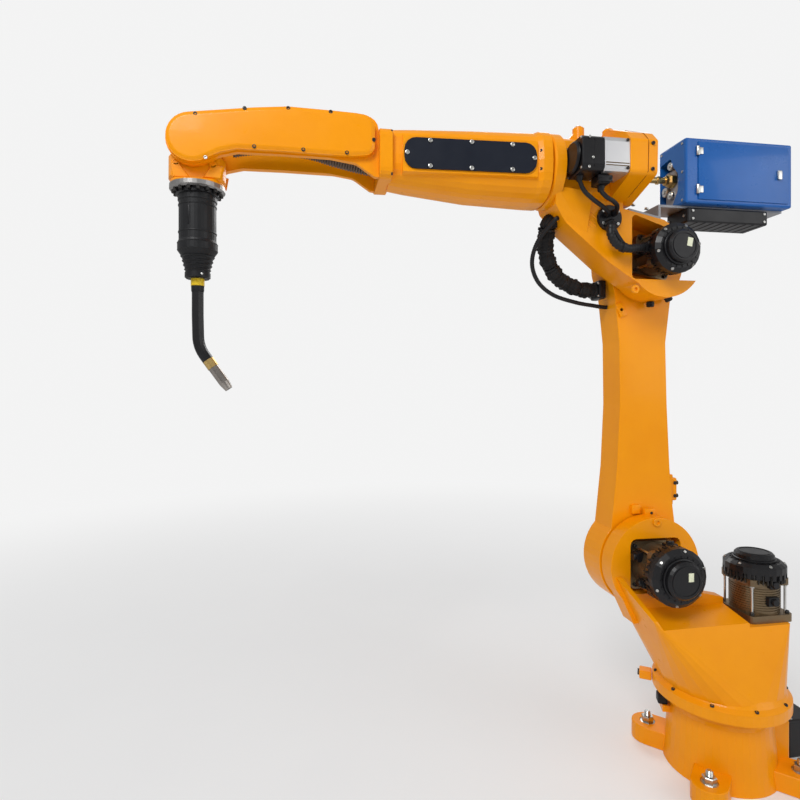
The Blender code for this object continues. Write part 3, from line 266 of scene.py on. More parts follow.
def piece(shape, name, mat, body=None, smooth=True, angle=38):
    bmesh.ops.recalc_face_normals(shape, faces=shape.faces)
    mesh = bpy.data.meshes.new(name)
    shape.to_mesh(mesh)
    shape.free()
    for poly in mesh.polygons:
        poly.use_smooth = smooth
    mesh.materials.append(mat)
    obj = bpy.data.objects.new(name, mesh)
    bpy.context.scene.collection.objects.link(obj)
    if smooth:
        mesh.set_sharp_from_angle(angle=math.radians(angle))
    if body:
        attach(obj, body)
    return obj


# A hexagon-socket cap screw standing on a face; screws is a list of (place, axis)
def capScrew(shape, place, axis, radius, height, spin=0.0):
    at = aim(place, axis, spin)
    spun(shape, [(radius, 0.0), (radius, height * 0.82), (radius * 0.86, height), (radius * 0.56, height)], at, 16)
    spun(shape, [(radius * 0.56, height), (radius * 0.52, height * 0.45), (0, height * 0.45)], at, 6)


def capScrews(name, mat, body, screws, radius, height):
    shape = bmesh.new()
    for k, (place, axis) in enumerate(screws):
        capScrew(shape, place, axis, radius, height, 17.0 * k)
    return piece(shape, name, mat, body)


def ringOf(count, radius, centre, axis, start=0.0):
    at = aim(centre, axis)
    return [at @ Vector((radius * math.cos(math.tau * (k + start) / count),
                         radius * math.sin(math.tau * (k + start) / count), 0)) for k in range(count)]


boltSteel = coated("zincBolt", (0.62, 0.62, 0.60), (0.42, 0.41, 0.38), 0.30, metallic=1.0, grain=(400, 0.0001))
boltBlack = coated("blackBolt", (0.030, 0.029, 0.028), (0.075, 0.068, 0.06), 0.42, metallic=0.55, grain=(400, 0.0001))
seam = coated("seamShadow", (0.30, 0.075, 0.004), (0.18, 0.045, 0.004), 0.6, grain=(120, 0.0002), spec=0.2)
print("stage: helpers")

# Base: mounting studs, turntable screws

base = {"holes": 0.120, "lugTop": 0.041, "screws": 12, "screwRing": 0.1135, "screwZ": 0.1715}
studs = bmesh.new()
for sx in (-1, 1):
    for sy in (-1, 1):
        at = aim((sx * base["holes"], sy * base["holes"], base["lugTop"]), (0, 0, 1), 13 * sx + 5 * sy)
        spun(studs, [(0.0185, 0.0002), (0.0185, 0.0032), (0.0176, 0.0036), (0.0095, 0.0036)], at, 32)
        spun(studs, [(0.0156, 0.0036), (0.0158, 0.0050), (0.0158, 0.0165), (0.0138, 0.0182), (0.0085, 0.0182)], at, 6)
        thread = [(0.0079 if k % 2 else 0.0070, 0.0182 + 0.0011 * k) for k in range(11)]
        spun(studs, [(0.0085, 0.0182), *thread, (0.0055, 0.0312), (0, 0.0312)], at, 18)
piece(studs, "mountingStuds", boltSteel, "base", angle=30)
capScrews("pedestalScrews", boltBlack, "base",
          [(p, (0, 0, 1)) for p in ringOf(base["screws"], base["screwRing"], (0, 0, base["screwZ"]), (0, 0, 1), 0.5)],
          0.0052, 0.0024)
print("stage: base")

# Motors: flange screws, tie rods, ribs, shroud and fan lid, sockets as (turn, across, along, width)

servos = [
    {"name": "shoulderMotor", "body": "turret", "side": 0.118, "length": 0.142, "axis": "Y", "spin": 0.0,
     "at": (0.175, splitY + 0.0143, 0.505),
     "sockets": ((0, -0.030, 0.045, 0.024), (0, 0.028, 0.066, 0.020), (-90, -0.020, 0.060, 0.030))},
    {"name": "elbowMotor", "body": "elbow", "side": 0.100, "length": 0.136, "axis": "Y", "spin": -10.0,
     "at": (0.175, splitY + 0.0143, 1.277), "sockets": ((0, 0.0, 0.038, 0.030), (0, 0.0, 0.080, 0.022))},
    {"name": "swivelMotor", "body": "turret", "side": 0.118, "length": 0.150, "axis": "Z", "spin": 0.0,
     "at": (-0.085, 0.018, 0.3773), "sockets": ((90, 0.0, 0.052, 0.030), (90, 0.0, 0.094, 0.022))},
]
combFins = 44  # fins round each fan shroud
for servo in servos:
    tip = Matrix.Rotation(math.radians(-90), 4, "X") if servo["axis"] == "Y" else Matrix.Identity(4)
    at = Matrix.Translation(Vector(servo["at"])) @ tip @ Matrix.Rotation(math.radians(servo["spin"]), 4, "Z")
    side, length = servo["side"], servo["length"]
    corner = side * 0.41
    turn = at.to_3x3()
    up = turn @ Vector((0, 0, 1))
    corners = [at @ Vector((sx * corner, sy * corner, 0.0182)) for sx in (-1, 1) for sy in (-1, 1)]
    capScrews(servo["name"] + "FlangeScrews", boltBlack, servo["body"], [(c, up) for c in corners], 0.0052, 0.006)
    rods = bmesh.new()
    for c in corners:
        inward = (c - at @ Vector((0, 0, 0.0182))).normalized() * -0.004
        swept(rods, [c + inward, c + inward + up * (length - 0.0645 - 0.018)], 0.0030, 10)
        spun(rods, [(0.0052, 0.0), (0.0052, 0.006), (0.0044, 0.007), (0.003, 0.007)],
             aim(c + inward + up * (length - 0.0845), up), 6)
    piece(rods, servo["name"] + "TieRods", boltSteel, servo["body"])
    ribs = bmesh.new()
    for k in range(10):
        z = 0.026 + k * (length - 0.098) / 9
        r = side * 0.46
        spun(ribs, [(r, z - 0.0016), (r + 0.0022, z - 0.0010), (r + 0.0022, z + 0.0010), (r, z + 0.0016)], at, 48)
    piece(ribs, servo["name"] + "Fins", gunmetal, servo["body"])
    shroudR = side * 0.59
    cone = bmesh.new()
    for k in range(6):
        a = math.tau * (k + 0.35) / 6
        spot = at @ Vector(((shroudR - 0.006) * math.cos(a), (shroudR - 0.006) * math.sin(a), length - 0.0135))
        lean = turn @ Vector((math.cos(a) * 0.62, math.sin(a) * 0.62, 0.78))
        capScrew(cone, spot, lean, 0.0034, 0.0026, 20 * k)
    piece(cone, servo["name"] + "ShroudScrews", boltSteel, servo["body"])
    lid = bmesh.new()
    capR = shroudR * 0.64
    spun(lid, [(capR + 0.004, length - 0.0098), (capR + 0.004, length - 0.0062), (capR + 0.0024, length - 0.0050),
               (capR + 0.0004, length - 0.0050)], at, 64)
    spun(lid, [(capR * 0.80, length + 0.0081), (capR * 0.80, length + 0.0092), (capR * 0.77, length + 0.0096),
               (capR * 0.73, length + 0.0092), (capR * 0.73, length + 0.0081)], at, 64)
    for k in range(20):
        a = math.tau * k / 20
        slat = at @ Matrix.Rotation(a, 4, "Z") @ Matrix.Translation((capR + 0.0075, 0, length - 0.0092))
        boxed(lid, (0.005, 0.0030, 0.0016), slat, 0.0004)
    piece(lid, servo["name"] + "FanLid", black, servo["body"])
    comb = bmesh.new()
    for k in range(combFins):
        turned = Matrix.Rotation(math.tau * k / combFins, 4, "Z")
        fin = at @ turned @ Matrix.Translation((shroudR * 0.885, 0, length - 0.0445))
        boxed(comb, (shroudR * 0.19, 0.0021, 0.024), fin, 0.0006)
    piece(comb, servo["name"] + "CombFins", boltBlack, servo["body"])
    plugs = bmesh.new()
    for spin, across, z, wide in servo["sockets"]:
        socketAt = at @ Matrix.Rotation(math.radians(spin), 4, "Z") @ Matrix.Translation((side * 0.47, across, z))
        boxed(plugs, (0.016, wide, 0.022), socketAt, 0.003)
        stub = socketAt @ Matrix.Rotation(math.radians(90), 4, "Y")
        spun(plugs, [(0.009, 0.007), (0.009, 0.013), (0.0078, 0.015), (0, 0.015)], stub, 18)
    piece(plugs, servo["name"] + "Sockets", black, servo["body"])
    if servo["axis"] == "Y":
        label = bmesh.new()
        boxed(label, (0.013, 0.020, 0.0006), at @ Matrix.Translation((-0.011, -0.010, length + 0.0084)), 0.0002)
        piece(label, servo["name"] + "Label", blankLabel, servo["body"])
print("stage: motors")

# Turret: rim screws, stop block screws, cheek boss, blocks that mark the shoulder's zero

capScrews("rimScrews", boltBlack, "turret",
          [(p, (0, 0, 1)) for p in ringOf(10, 0.1475, (0, 0, 0.2085), (0, 0, 1), 0.28)], 0.0046, 0.0040)
stopTurn = Matrix.Rotation(math.radians(-33.0), 4, "Z")
capScrews("stopBlockScrews", boltBlack, "turret",
          [(stopTurn @ Vector((0.1862, sy, 0.1895)), stopTurn @ Vector((1, 0, 0))) for sy in (-0.008, 0.008)],
          0.0045, 0.0040)
boss = bmesh.new()
spun(boss, [(0.0105, 0.0), (0.0105, 0.0030), (0.0095, 0.0040), (0.0050, 0.0040), (0.0050, 0.0012), (0, 0.0012)],
     aim((0.172, 0.0002, 0.6135), (0, 1, 0)), 28)
piece(boss, "cheekBoss", paint, "turret")
marks = bmesh.new()
boxed(marks, (0.030, 0.014, 0.020), aim((0.168, -0.040, 0.6290), (0, 0, 1)), 0.003)
piece(marks, "zeroBlockCheek", paint, "turret")
capScrews("zeroBlockScrew", boltBlack, "turret", [((0.165, -0.0328, 0.6290), (0, 1, 0))], 0.0036, 0.0016)
zeroArm = bmesh.new()
boxed(zeroArm, (0.024, 0.009, 0.023), aim((0.199, -0.0490, 0.6365), (0, 0, 1), 0), 0.003)
piece(zeroArm, "zeroBlockArm", paint, "lower_arm")
print("stage: turret")

# Lower arm: clamp screws, hub cover screws on the far side, a lug with a pin hole

armFar = -0.137
capScrews("clampScrews", boltBlack, "lower_arm",
          [((0.175 - 0.1087, -0.074, 0.505 + z), (-1, 0, 0)) for z in (0.158, 0.192)], 0.0052, 0.0030)
capScrews("clampFaceScrews", boltBlack, "lower_arm",
          [((0.175 - 0.1015, -0.0698, 0.505 + z), (0, 1, 0)) for z in (0.158, 0.192)], 0.0046, 0.0022)
capScrews("shoulderHubScrews", boltBlack, "lower_arm",
          [(p, (0, -1, 0)) for p in ringOf(10, 0.074, (0.175, armFar - 0.0182, 0.505), (0, -1, 0), 0.5)], 0.0055, 0.004)
capScrews("elbowHubScrews", boltBlack, "lower_arm",
          [(p, (0, -1, 0)) for p in ringOf(8, 0.055, (0.175, armFar - 0.0182, 1.265), (0, -1, 0), 0.5)], 0.0050, 0.004)
lug = bmesh.new()
boxed(lug, (0.019, 0.036, 0.0040), aim((0.2385, -0.0502, 1.1480), (0, 1, 0), 24), 0.0012)
spun(lug, [(0.0085, 0.0), (0.0085, 0.0006), (0.0078, 0.0010), (0.0040, 0.0010), (0.0040, 0.0002), (0, 0.0002)],
     aim((0.2385, -0.0484, 1.1480), (0, 1, 0)), 22)
piece(lug, "pinLug", paint, "lower_arm")
print("stage: lower arm")

# Elbow: entry plate, twist motor, belt case, lifting threads, cast ribs

elbowSkin = splitY + 0.088
capScrews("entryPlateScrews", boltSteel, "elbow",
          [((0.325 + 0.0235 * math.cos(a), elbowSkin + 0.0102, 1.351 + 0.0235 * math.sin(a)), (0, 1, 0))
           for a in (math.radians(v) for v in (38, 142, 218, 322))], 0.0036, 0.0022)
glands = bmesh.new()
for gx, gz, gr in ((0.317, 1.361, 0.0085), (0.335, 1.357, 0.0085), (0.327, 1.337, 0.0100)):
    at = aim((gx, elbowSkin + 0.0103, gz), (0, 1, 0), 15)
    spun(glands, [(gr, 0.0), (gr, 0.0045), (gr * 0.92, 0.0052), (gr * 0.66, 0.0052)], at, 6)
    spun(glands, [(gr * 0.80, 0.0052), (gr * 0.80, 0.0095), (gr * 0.66, 0.0112)], at, 18)
piece(glands, "entryGlands", black, "elbow")
motorY = 0.098
frontX = 0.327
stator = bmesh.new()
for z in (-0.026, -0.0205):
    groove = [(frontX + x, motorY + 0.0392, axisZ + z) for x in (0.002, 0.058)]
    swept(stator, groove, 0.0011, 8)
piece(stator, "statorGrooves", gunmetal, "elbow")
capScrews("statorScrews", boltBlack, "elbow",
          [((frontX + 0.0060, motorY + 0.0391, axisZ + z), (0, 1, 0)) for z in (-0.031, 0.031)], 0.0036, 0.0022)
capScrews("encoderScrews", boltSteel, "elbow",
          [((frontX + x, motorY + 0.0391, axisZ + z), (0, 1, 0))
           for x, z in ((0.096, 0.033), (0.088, -0.012), (0.097, -0.033))]
          + [((frontX + 0.1122, motorY + y, axisZ + z), (1, 0, 0)) for y in (-0.033, 0.033) for z in (-0.033, 0.033)],
          0.0030, 0.0018)
lines = bmesh.new()
boxed(lines, (0.0012, 0.0008, 0.062), aim((frontX + 0.083, motorY + 0.0391, axisZ), (0, 0, 1)), 0.0002)
spun(lines, [(0.0345, 0.0), (0.0352, 0.0010), (0.0345, 0.0020)], aim((frontX + 0.1150, motorY, axisZ), (1, 0, 0)), 48)
piece(lines, "encoderSeams", black, "elbow")
capScrews("beltCoverScrews", boltBlack, "elbow",
          [((0.2745, y, z), d) for y, z, d in (
              (0.1405, 1.4920, (0, 1, 0)), (0.1385, 1.4350, (0, 1, 0)), (-0.0665, 1.500, (0, -1, 0)),
              (-0.0665, 1.430, (0, -1, 0)))], 0.0042, 0.0030)
capScrews("beltCoverRearScrews", boltBlack, "elbow",
          [((0.2618, y, z), (-1, 0, 0)) for y, z in (
              (0.120, 1.440), (0.118, 1.492), (0.040, 1.543), (-0.045, 1.520), (-0.045, 1.410), (0.020, 1.402),
              (0.092, 1.428))], 0.0044, 0.0034)
caseSeam = bmesh.new()
swept(caseSeam, [(0.2848, y, z) for y, z in ((0.060, 1.3974), (0.130, 1.4222), (0.1384, 1.4300), (0.1405, 1.4950),
                                              (0.1366, 1.5032), (0.1200, 1.5218), (0.0450, 1.5609))], 0.0007, 8)
piece(caseSeam, "caseSeam", seam, "elbow")
ears = bmesh.new()
for dx in (0.206, 0.128):
    spun(ears, [(0.0088, 0.0), (0.0088, 0.0012), (0.0060, 0.0016), (0.0056, -0.0004), (0, -0.0004)],
         aim((0.175 + dx, 0, axisZ + 0.1160), (0, 0, 1)), 24)
piece(ears, "liftingThreads", boltSteel, "elbow")
pads = bmesh.new()
boxed(pads, (0.024, 0.006, 0.018), aim((0.436, 0.0745, 1.4790), (0, 0, 1)), 0.002)
for low, high, wide in (((0.4470, 1.4000), (0.3560, 1.3320), 0.0026), ((0.4560, 1.3895), (0.3700, 1.3265), 0.0026),
                        ((0.4330, 1.4110), (0.3420, 1.3400), 0.0022)):
    swept(pads, [(low[0], elbowSkin - 0.0014, low[1]), (high[0], elbowSkin - 0.0010, high[1])], wide, 10)
spun(pads, [(0.0100, -0.002), (0.0100, 0.0030), (0.0090, 0.0040), (0.0042, 0.0040), (0.0042, 0.0005), (0, 0.0005)],
     aim((0.2560, elbowSkin, 1.1850), (0, 1, 0)), 24)
piece(pads, "castPads", paint, "elbow")
capScrews("forearmFlangeScrews", boltBlack, "forearm",
          [(p, (1, 0, 0)) for p in ringOf(12, 0.0800, (0.5075, 0, axisZ), (1, 0, 0), 0.5)], 0.0036, 0.0040)
print("stage: elbow")

# Forearm: panel screws, raised belt cover faces, cover and fork plate screws

slant = math.atan2(0.0135, 0.306)


# A point on the slanting cover panel
def onPanel(run, rise):
    return (0.518 + run * math.cos(slant) + 0.0041 * math.sin(slant),
            0.0795 - run * math.sin(slant) + 0.0041 * math.cos(slant), axisZ + rise)


capScrews("panelScrews", boltSteel, "forearm",
          [(onPanel(run, rise), (math.sin(slant), math.cos(slant), 0))
           for run, rise in ((0.009, 0.0), (0.060, 0.028), (0.060, -0.028), (0.153, 0.029), (0.153, -0.029),
                             (0.246, 0.028), (0.246, -0.028), (0.297, 0.0))], 0.0048, 0.0026)


# The edge of a flat face that looks along Y, as (x, z) points in order
def faceOutline(node, side):
    shape = bmesh.new()
    shape.from_mesh(node.data)
    shape.transform(node.matrix_world)
    bmesh.ops.remove_doubles(shape, verts=shape.verts, dist=0.00005)
    shape.verts.index_update()
    level = max(side * vert.co.y for vert in shape.verts)
    flat = [face for face in shape.faces if all(side * vert.co.y > level - 0.0002 for vert in face.verts)]
    ahead = {}
    for face in flat:
        for loop in face.loops:
            if not any(other in flat for other in loop.edge.link_faces if other is not face):
                ahead[loop.vert.index] = loop.link_loop_next.vert.index
    shape.verts.ensure_lookup_table()
    start = min(ahead)  # a fixed start, so that every run gives the same mesh
    order, at = [start], ahead[start]
    while at != start:
        order.append(at)
        at = ahead[at]
    points = [(shape.verts[k].co.x, shape.verts[k].co.z) for k in order]
    shape.free()
    return points, side * level


def shrunk(points, inset):
    area = sum(p[0] * q[1] - q[0] * p[1] for p, q in zip(points, points[1:] + points[:1]))
    turn = 1 if area > 0 else -1
    moved = []
    for k, point in enumerate(points):
        here = Vector(point)
        before = (here - Vector(points[k - 1])).normalized()
        after = (Vector(points[(k + 1) % len(points)]) - here).normalized()
        inward = Vector((-before.y - after.y, before.x + after.x)).normalized() * turn
        reach = max(0.5, inward.dot(Vector((-before.y, before.x)) * turn))
        moved.append(here + inward * (inset / reach))
    return moved


# A belt cover's face, raised inside a lip that slopes down to the edge
def raisedFace(node, side, name):
    points, level = faceOutline(node, side)
    shape = bmesh.new()
    rings = []
    for inset, rise in ((0.0006, -0.0004), (0.0012, 0.0001), (0.0068, 0.0025), (0.0080, 0.0029), (0.0096, 0.0030)):
        rings.append([shape.verts.new((q[0], level + side * rise, q[1])) for q in shrunk(points, inset)])
    for low, high in zip(rings, rings[1:]):
        for k in range(len(low)):
            n = (k + 1) % len(low)
            shape.faces.new((low[k], low[n], high[n], high[k]))
    shape.faces.new(rings[-1])
    shape.faces.new(rings[0][::-1])
    return piece(shape, name, paint, "forearm", angle=24)


for side, label in ((1, "near"), (-1, "far")):
    raisedFace(nodes[label + "_belt_cover"], side, label + "CoverFace")
    y = side * 0.0642
    top = [(-0.0076, 0.0525), (-0.1066, 0.0715), (-0.1964, 0.0785), (-0.2860, 0.0775)]
    low = [(-0.1260, -0.0070), (-0.2280, -0.0070), (-0.3208, -0.0075), (-0.3790, 0.0240)]
    capScrews(label + "CoverScrews", boltBlack, "forearm",
              [((wristAt.x + x, y, axisZ + z), (0, side, 0)) for x, z in top + low], 0.0042, 0.0030)
    capScrews(label + "CoverEndScrews", boltSteel, "forearm",
              [((wristAt.x - 0.028, y, axisZ - 0.0365), (0, side, 0))], 0.0040, 0.0032)
capScrews("forkPlateScrews", boltBlack, "forearm",
          [((0.8500, y, axisZ + z), (-1, 0, 0)) for y, z in ((0.0630, 0.046), (0.0630, -0.046), (-0.0630, 0.046),
                                                             (-0.0630, -0.046))], 0.0040, 0.0040)
print("stage: forearm")

# Wrist and torch: V facets, ring screws, boot rings and slots, the ribbed band

dropZ = axisZ - 0.078
cheeks = bmesh.new()
for side in (-1, 1):
    for outline in ([(1.3165, 1.4220), (1.3015, 1.4300), (1.2735, 1.3935), (1.3110, 1.3935)],
                    [(1.2310, 1.4280), (1.2060, 1.4220), (1.2110, 1.3945), (1.2520, 1.3955)]):
        mid = Vector((sum(q[0] for q in outline) / 4, 0, sum(q[1] for q in outline) / 4))
        back = [Vector((x, side * 0.0345, z)) for x, z in outline]
        front = [Vector((mid.x + (x - mid.x) * 0.80, side * 0.0386, mid.z + (z - mid.z) * 0.84)) for x, z in outline]
        bmesh.ops.convex_hull(cheeks, input=[cheeks.verts.new(q) for q in back + front])
piece(cheeks, "wristCheeks", paint, "wrist", angle=20)
bosses = bmesh.new()
for side in (-1, 1):
    for x, z in ((1.3040, 1.4270), (1.2290, 1.4250)):
        spun(bosses, [(0.0080, 0.0), (0.0080, 0.0012), (0.0070, 0.0020), (0.0046, 0.0020), (0.0042, 0.0006),
                      (0, 0.0006)], aim((x, side * 0.0366, z), (0, side, 0)), 22)
piece(bosses, "wristBosses", paint, "wrist")
capScrews("toolRingScrews", boltBlack, "tool",
          [(p, (0, 0, -1)) for p in ringOf(16, 0.0495, (wristAt.x, 0, dropZ - 0.0124), (0, 0, -1), 0.5)],
          0.0042, 0.0060)
bandLow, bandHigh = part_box("torch_band")
bandR = (bandHigh[0] - bandLow[0]) / 2 - 0.0012
bandAt = aim((wristAt.x, 0, bandLow[2]), (0, 0, 1))
bandTall = bandHigh[2] - bandLow[2]
band = bmesh.new()
rows = [(bandR * 0.70, bandTall * 0.46), (bandR, bandTall * 0.46)]
for k in range(5):
    z = bandTall * (0.50 + 0.10 * k)
    rows += [(bandR, z - 0.0006), (bandR - 0.0010, z - 0.0002), (bandR - 0.0010, z + 0.0002), (bandR, z + 0.0006)]
spun(band, rows + [(bandR, bandTall), (bandR * 0.70, bandTall)], bandAt, 40)
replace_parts(piece(band, "torchBandRibs", yellow, "tool", angle=30), "torch_band")
grip = bmesh.new()
spun(grip, [(bandR * 0.60, 0.0), (bandR * 0.90, 0.0), (bandR * 0.94, bandTall * 0.10), (bandR * 0.95, bandTall * 0.44),
            (bandR * 0.90, bandTall * 0.48), (bandR * 0.60, bandTall * 0.48)], bandAt, 40)
piece(grip, "torchBandGrip", rubber, "tool", angle=30)
collar = bmesh.new()
spun(collar, [(0.0412, -0.0125), (0.0455, -0.0135), (0.0455, -0.0205), (0.0412, -0.0220)],
     aim((wristAt.x, 0, dropZ), (0, 0, 1)), 56)
piece(collar, "bootClampRing", black, "tool")
bootTop = dropZ - 0.0126
bellows = bmesh.new()
for z, r, deep in ((-0.1120, 0.0418, 0.0042), (-0.1270, 0.0416, 0.0046), (-0.1400, 0.0350, 0.0056),
                   (-0.1500, 0.0318, 0.0050), (-0.1590, 0.0296, 0.0044), (-0.1680, 0.0272, 0.0040)):
    spun(bellows, [(r - deep, z + 0.0046), (r - deep * 0.3, z + 0.0026), (r + 0.0008, z), (r - deep * 0.3, z - 0.0026),
                   (r - deep, z - 0.0046)], aim((wristAt.x, 0, bootTop), (0, 0, 1)), 56)
for z in (-0.0305, -0.0885):
    spun(bellows, [(0.0386, z + 0.0022), (0.0402, z + 0.0012), (0.0402, z - 0.0012), (0.0386, z - 0.0022)],
         aim((wristAt.x, 0, bootTop), (0, 0, 1)), 56)
spun(bellows, [(0.0243, -0.1735), (0.0268, -0.1745), (0.0268, -0.1850), (0.0243, -0.1862)],
     aim((wristAt.x, 0, bootTop), (0, 0, 1)), 40)
piece(bellows, "bootBellows", rubber, "tool", angle=60)
slots = bmesh.new()
for a in (72, 252):
    spin = Matrix.Translation((wristAt.x, 0, bootTop - 0.058)) @ Matrix.Rotation(math.radians(a), 4, "Z")
    boxed(slots, (0.0022, 0.0040, 0.040), spin @ Matrix.Translation((0.0388, 0, 0)), 0.0009)
piece(slots, "bootSeams", black, "tool")
capScrews("bootClampScrews", boltSteel, "tool",
          [((wristAt.x + 0.0268 * math.cos(a), 0.0268 * math.sin(a), bootTop - 0.1795), (math.cos(a), math.sin(a), 0))
           for a in (math.radians(118), math.radians(298))], 0.0024, 0.0016)
print("stage: wrist and torch")

# Cable loop and hose across the elbow joint, shaped on the CAD routes

harness = {
    "start": (0.445, -0.02, 1.345), "end": (0.29, -0.09, 1.203), "radius": 0.0185, "spacing": 0.004,
    "firstTie": 6, "tieEvery": 13, "strands": 7,
    "knots": [(0.4436, -0.012, 1.3521), (0.4533, -0.012, 1.3450), (0.447, -0.040, 1.303), (0.432, -0.060, 1.266),
              (0.396, -0.078, 1.229), (0.343, -0.090, 1.207), (0.2998, -0.0945, 1.203), (0.2878, -0.0945, 1.203)],
    "hose": [(0.4428, 0.022, 1.3526), (0.4524, 0.020, 1.3455), (0.478, -0.016, 1.304), (0.481, -0.044, 1.258),
             (0.456, -0.066, 1.216), (0.410, -0.078, 1.186), (0.345, -0.088, 1.170), (0.290, -0.0935, 1.163),
             (0.2640, -0.0945, 1.160), (0.2545, -0.0945, 1.160)],
}
loopPath = route(harness["knots"], harness["spacing"])


# Woven sleeve with shallow waves, pinched where the ties wrap it
def sleeveRadius(i, count):
    wave = 0.0016 * math.sin(i * 1.9) + 0.0015 * math.sin(i * 0.71 + 1.0)
    near = min(abs(i - k) for k in range(harness["firstTie"], count, harness["tieEvery"]))
    pinch = (0.0036, 0.0016)[near] if near < 2 else 0.0
    return harness["radius"] + wave - pinch


sleeve = bmesh.new()
swept(sleeve, loopPath, sleeveRadius, 28)
sleeveObj = piece(sleeve, "harnessSleeve", cloth, None, angle=80)
ties = bmesh.new()
for i in range(harness["firstTie"], len(loopPath), harness["tieEvery"]):
    ahead = loopPath[min(i + 1, len(loopPath) - 1)] - loopPath[i - 1]
    at = aim(loopPath[i], ahead)
    spun(ties, [(0.0155, -0.0026), (0.0185, -0.0024), (0.0185, 0.0024), (0.0155, 0.0026)], at, 32)
    boxed(ties, (0.0060, 0.0048, 0.0068), at @ Matrix.Translation((0.0195, 0, 0)), 0.0008)
tieObj = piece(ties, "harnessTies", black, None)
strands = bmesh.new()
for k in range(harness["strands"]):
    a = math.tau * k / harness["strands"]
    twist = []
    for i, point in enumerate(loopPath):
        ahead = (loopPath[min(i + 1, len(loopPath) - 1)] - loopPath[max(i - 1, 0)]).normalized()
        side = ahead.cross(Vector((0, 1, 0.2))).normalized()
        turn = a + i * 0.035
        r = sleeveRadius(i, len(loopPath)) - 0.0016
        twist.append(point + side * (r * math.cos(turn)) + ahead.cross(side) * (r * math.sin(turn)))
    swept(strands, twist, 0.0031, 8)
strandObj = piece(strands, "harnessStrands", cloth, None, angle=80)
hosePath = route(harness["hose"], 0.0026)
hose = bmesh.new()
swept(hose, hosePath, lambda i, count: 0.0056 if i % 2 else 0.0049, 14)
hoseObj = piece(hose, "harnessHose", rubber, None, angle=70)
for obj in (sleeveObj, tieObj, strandObj, hoseObj):
    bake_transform(obj)
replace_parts(sleeveObj, "elbow_harness")
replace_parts(hoseObj, "elbow_hose")
capScrews("harnessBracketScrews", boltSteel, "lower_arm",
          [((0.2878, y, z), (1, 0, 0)) for y in (-0.115, -0.074) for z in (1.187, 1.219)], 0.0034, 0.0022)
print("stage: harness")

# Ribbed conduit in the fork, with the curved stretch towards the wrist, which is attached to no body

conduit = {
    "spacing": 0.0020, "rings": (0.0184, 0.0178, 0.0156), "blendFrom": (1.140, 0, 1.485), "blendTo": (1.380, 0, 1.425),
    "knots": [(0.8756, 0, 1.453), (0.8956, 0, 1.453), (0.965, 0, 1.467), (1.035, 0, 1.483), (1.117, 0, 1.485),
              (1.137, 0, 1.485)],
    "bend": [(1.1375, 0, 1.485), (1.150, 0, 1.484), (1.175, 0, 1.4795), (1.196, 0, 1.474)],
}


def conduitTube(knots, name, body):
    tube = bmesh.new()
    swept(tube, route(knots, conduit["spacing"]), lambda i, count: conduit["rings"][i % 3], 26)
    return piece(tube, name, conduitMetal, body, angle=75)


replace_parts(conduitTube(conduit["knots"], "conduitRibs", "forearm"), "torch_conduit")
bendObj = conduitTube(conduit["bend"], "conduitBend", None)
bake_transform(bendObj)
print("stage: conduit")

# The twist motor's two leads hang in easy curves down to the entry plate, with boots at their ends

leads = bmesh.new()
for knots in ([(0.4270, 0.098, 1.4256), (0.4270, 0.098, 1.4160), (0.4150, 0.097, 1.3930), (0.3900, 0.092, 1.3760),
               (0.3600, 0.080, 1.3650), (0.3400, 0.066, 1.3580), (0.3350, 0.058, 1.3570), (0.3350, 0.0514, 1.3570)],
              [(0.3780, 0.102, 1.4035), (0.3775, 0.103, 1.3930), (0.3660, 0.106, 1.3790), (0.3480, 0.102, 1.3720),
               (0.3300, 0.088, 1.3670), (0.3200, 0.070, 1.3625), (0.3180, 0.060, 1.3610), (0.3180, 0.0514, 1.3610)]):
    swept(leads, route(knots, 0.003), 0.0050, 16)
leadObj = piece(leads, "motorLeads", rubber, "elbow", angle=70)
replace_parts(leadObj, "twist_power_lead", "twist_encoder_lead")
bundle = bmesh.new()
bundlePath = route([(0.3300, 0.0515, 1.3350), (0.3310, 0.0620, 1.3290), (0.3340, 0.0680, 1.3060),
                    (0.3200, 0.0700, 1.2830), (0.2920, 0.0680, 1.2750), (0.2620, 0.0600, 1.2790),
                    (0.2300, 0.0480, 1.2840)], 0.0028)
swept(bundle, bundlePath, lambda i, count: (0.0098, 0.0098, 0.0086)[i % 3], 20)
for i in (3, len(bundlePath) // 2, len(bundlePath) - 4):
    along = bundlePath[i + 1] - bundlePath[i - 1]
    spun(bundle, [(0.0080, -0.005), (0.0124, -0.0045), (0.0124, 0.0045), (0.0080, 0.005)], aim(bundlePath[i], along), 8)
boxed(bundle, (0.020, 0.026, 0.028), aim((0.2260, 0.0460, 1.2840), (0, 0, 1), 14), 0.003)
piece(bundle, "elbowMotorBundle", rubber, "elbow", angle=60)
boots = bmesh.new()
for place, axis, r in (((0.3180, 0.0515, 1.361), (0, 1, 0), 0.0062), ((0.3350, 0.0515, 1.357), (0, 1, 0), 0.0062),
                       ((0.3780, 0.102, 1.4035), (0, 0, -1), 0.0068), ((0.4270, 0.098, 1.4256), (0, 0, -1), 0.0068)):
    at = aim(place, axis)
    spun(boots, [(r + 0.0018, 0.0), (r + 0.0018, 0.004), (r + 0.0006, 0.006), (r + 0.0006, 0.010), (r - 0.0008, 0.012)],
         at, 20)
piece(boots, "leadBoots", black, "elbow")
plugFace = bmesh.new()
boxed(plugFace, (0.034, 0.004, 0.014), aim((0.378, 0.1215, 1.4145), (0, 0, 1)), 0.0012)
for x in (0.366, 0.390):
    spun(plugFace, [(0.0026, 0.0), (0.0026, 0.0016), (0.0012, 0.0016)], aim((x, 0.1234, 1.4145), (0, 1, 0)), 12)
piece(plugFace, "plugFace", black, "elbow")
print("stage: leads")

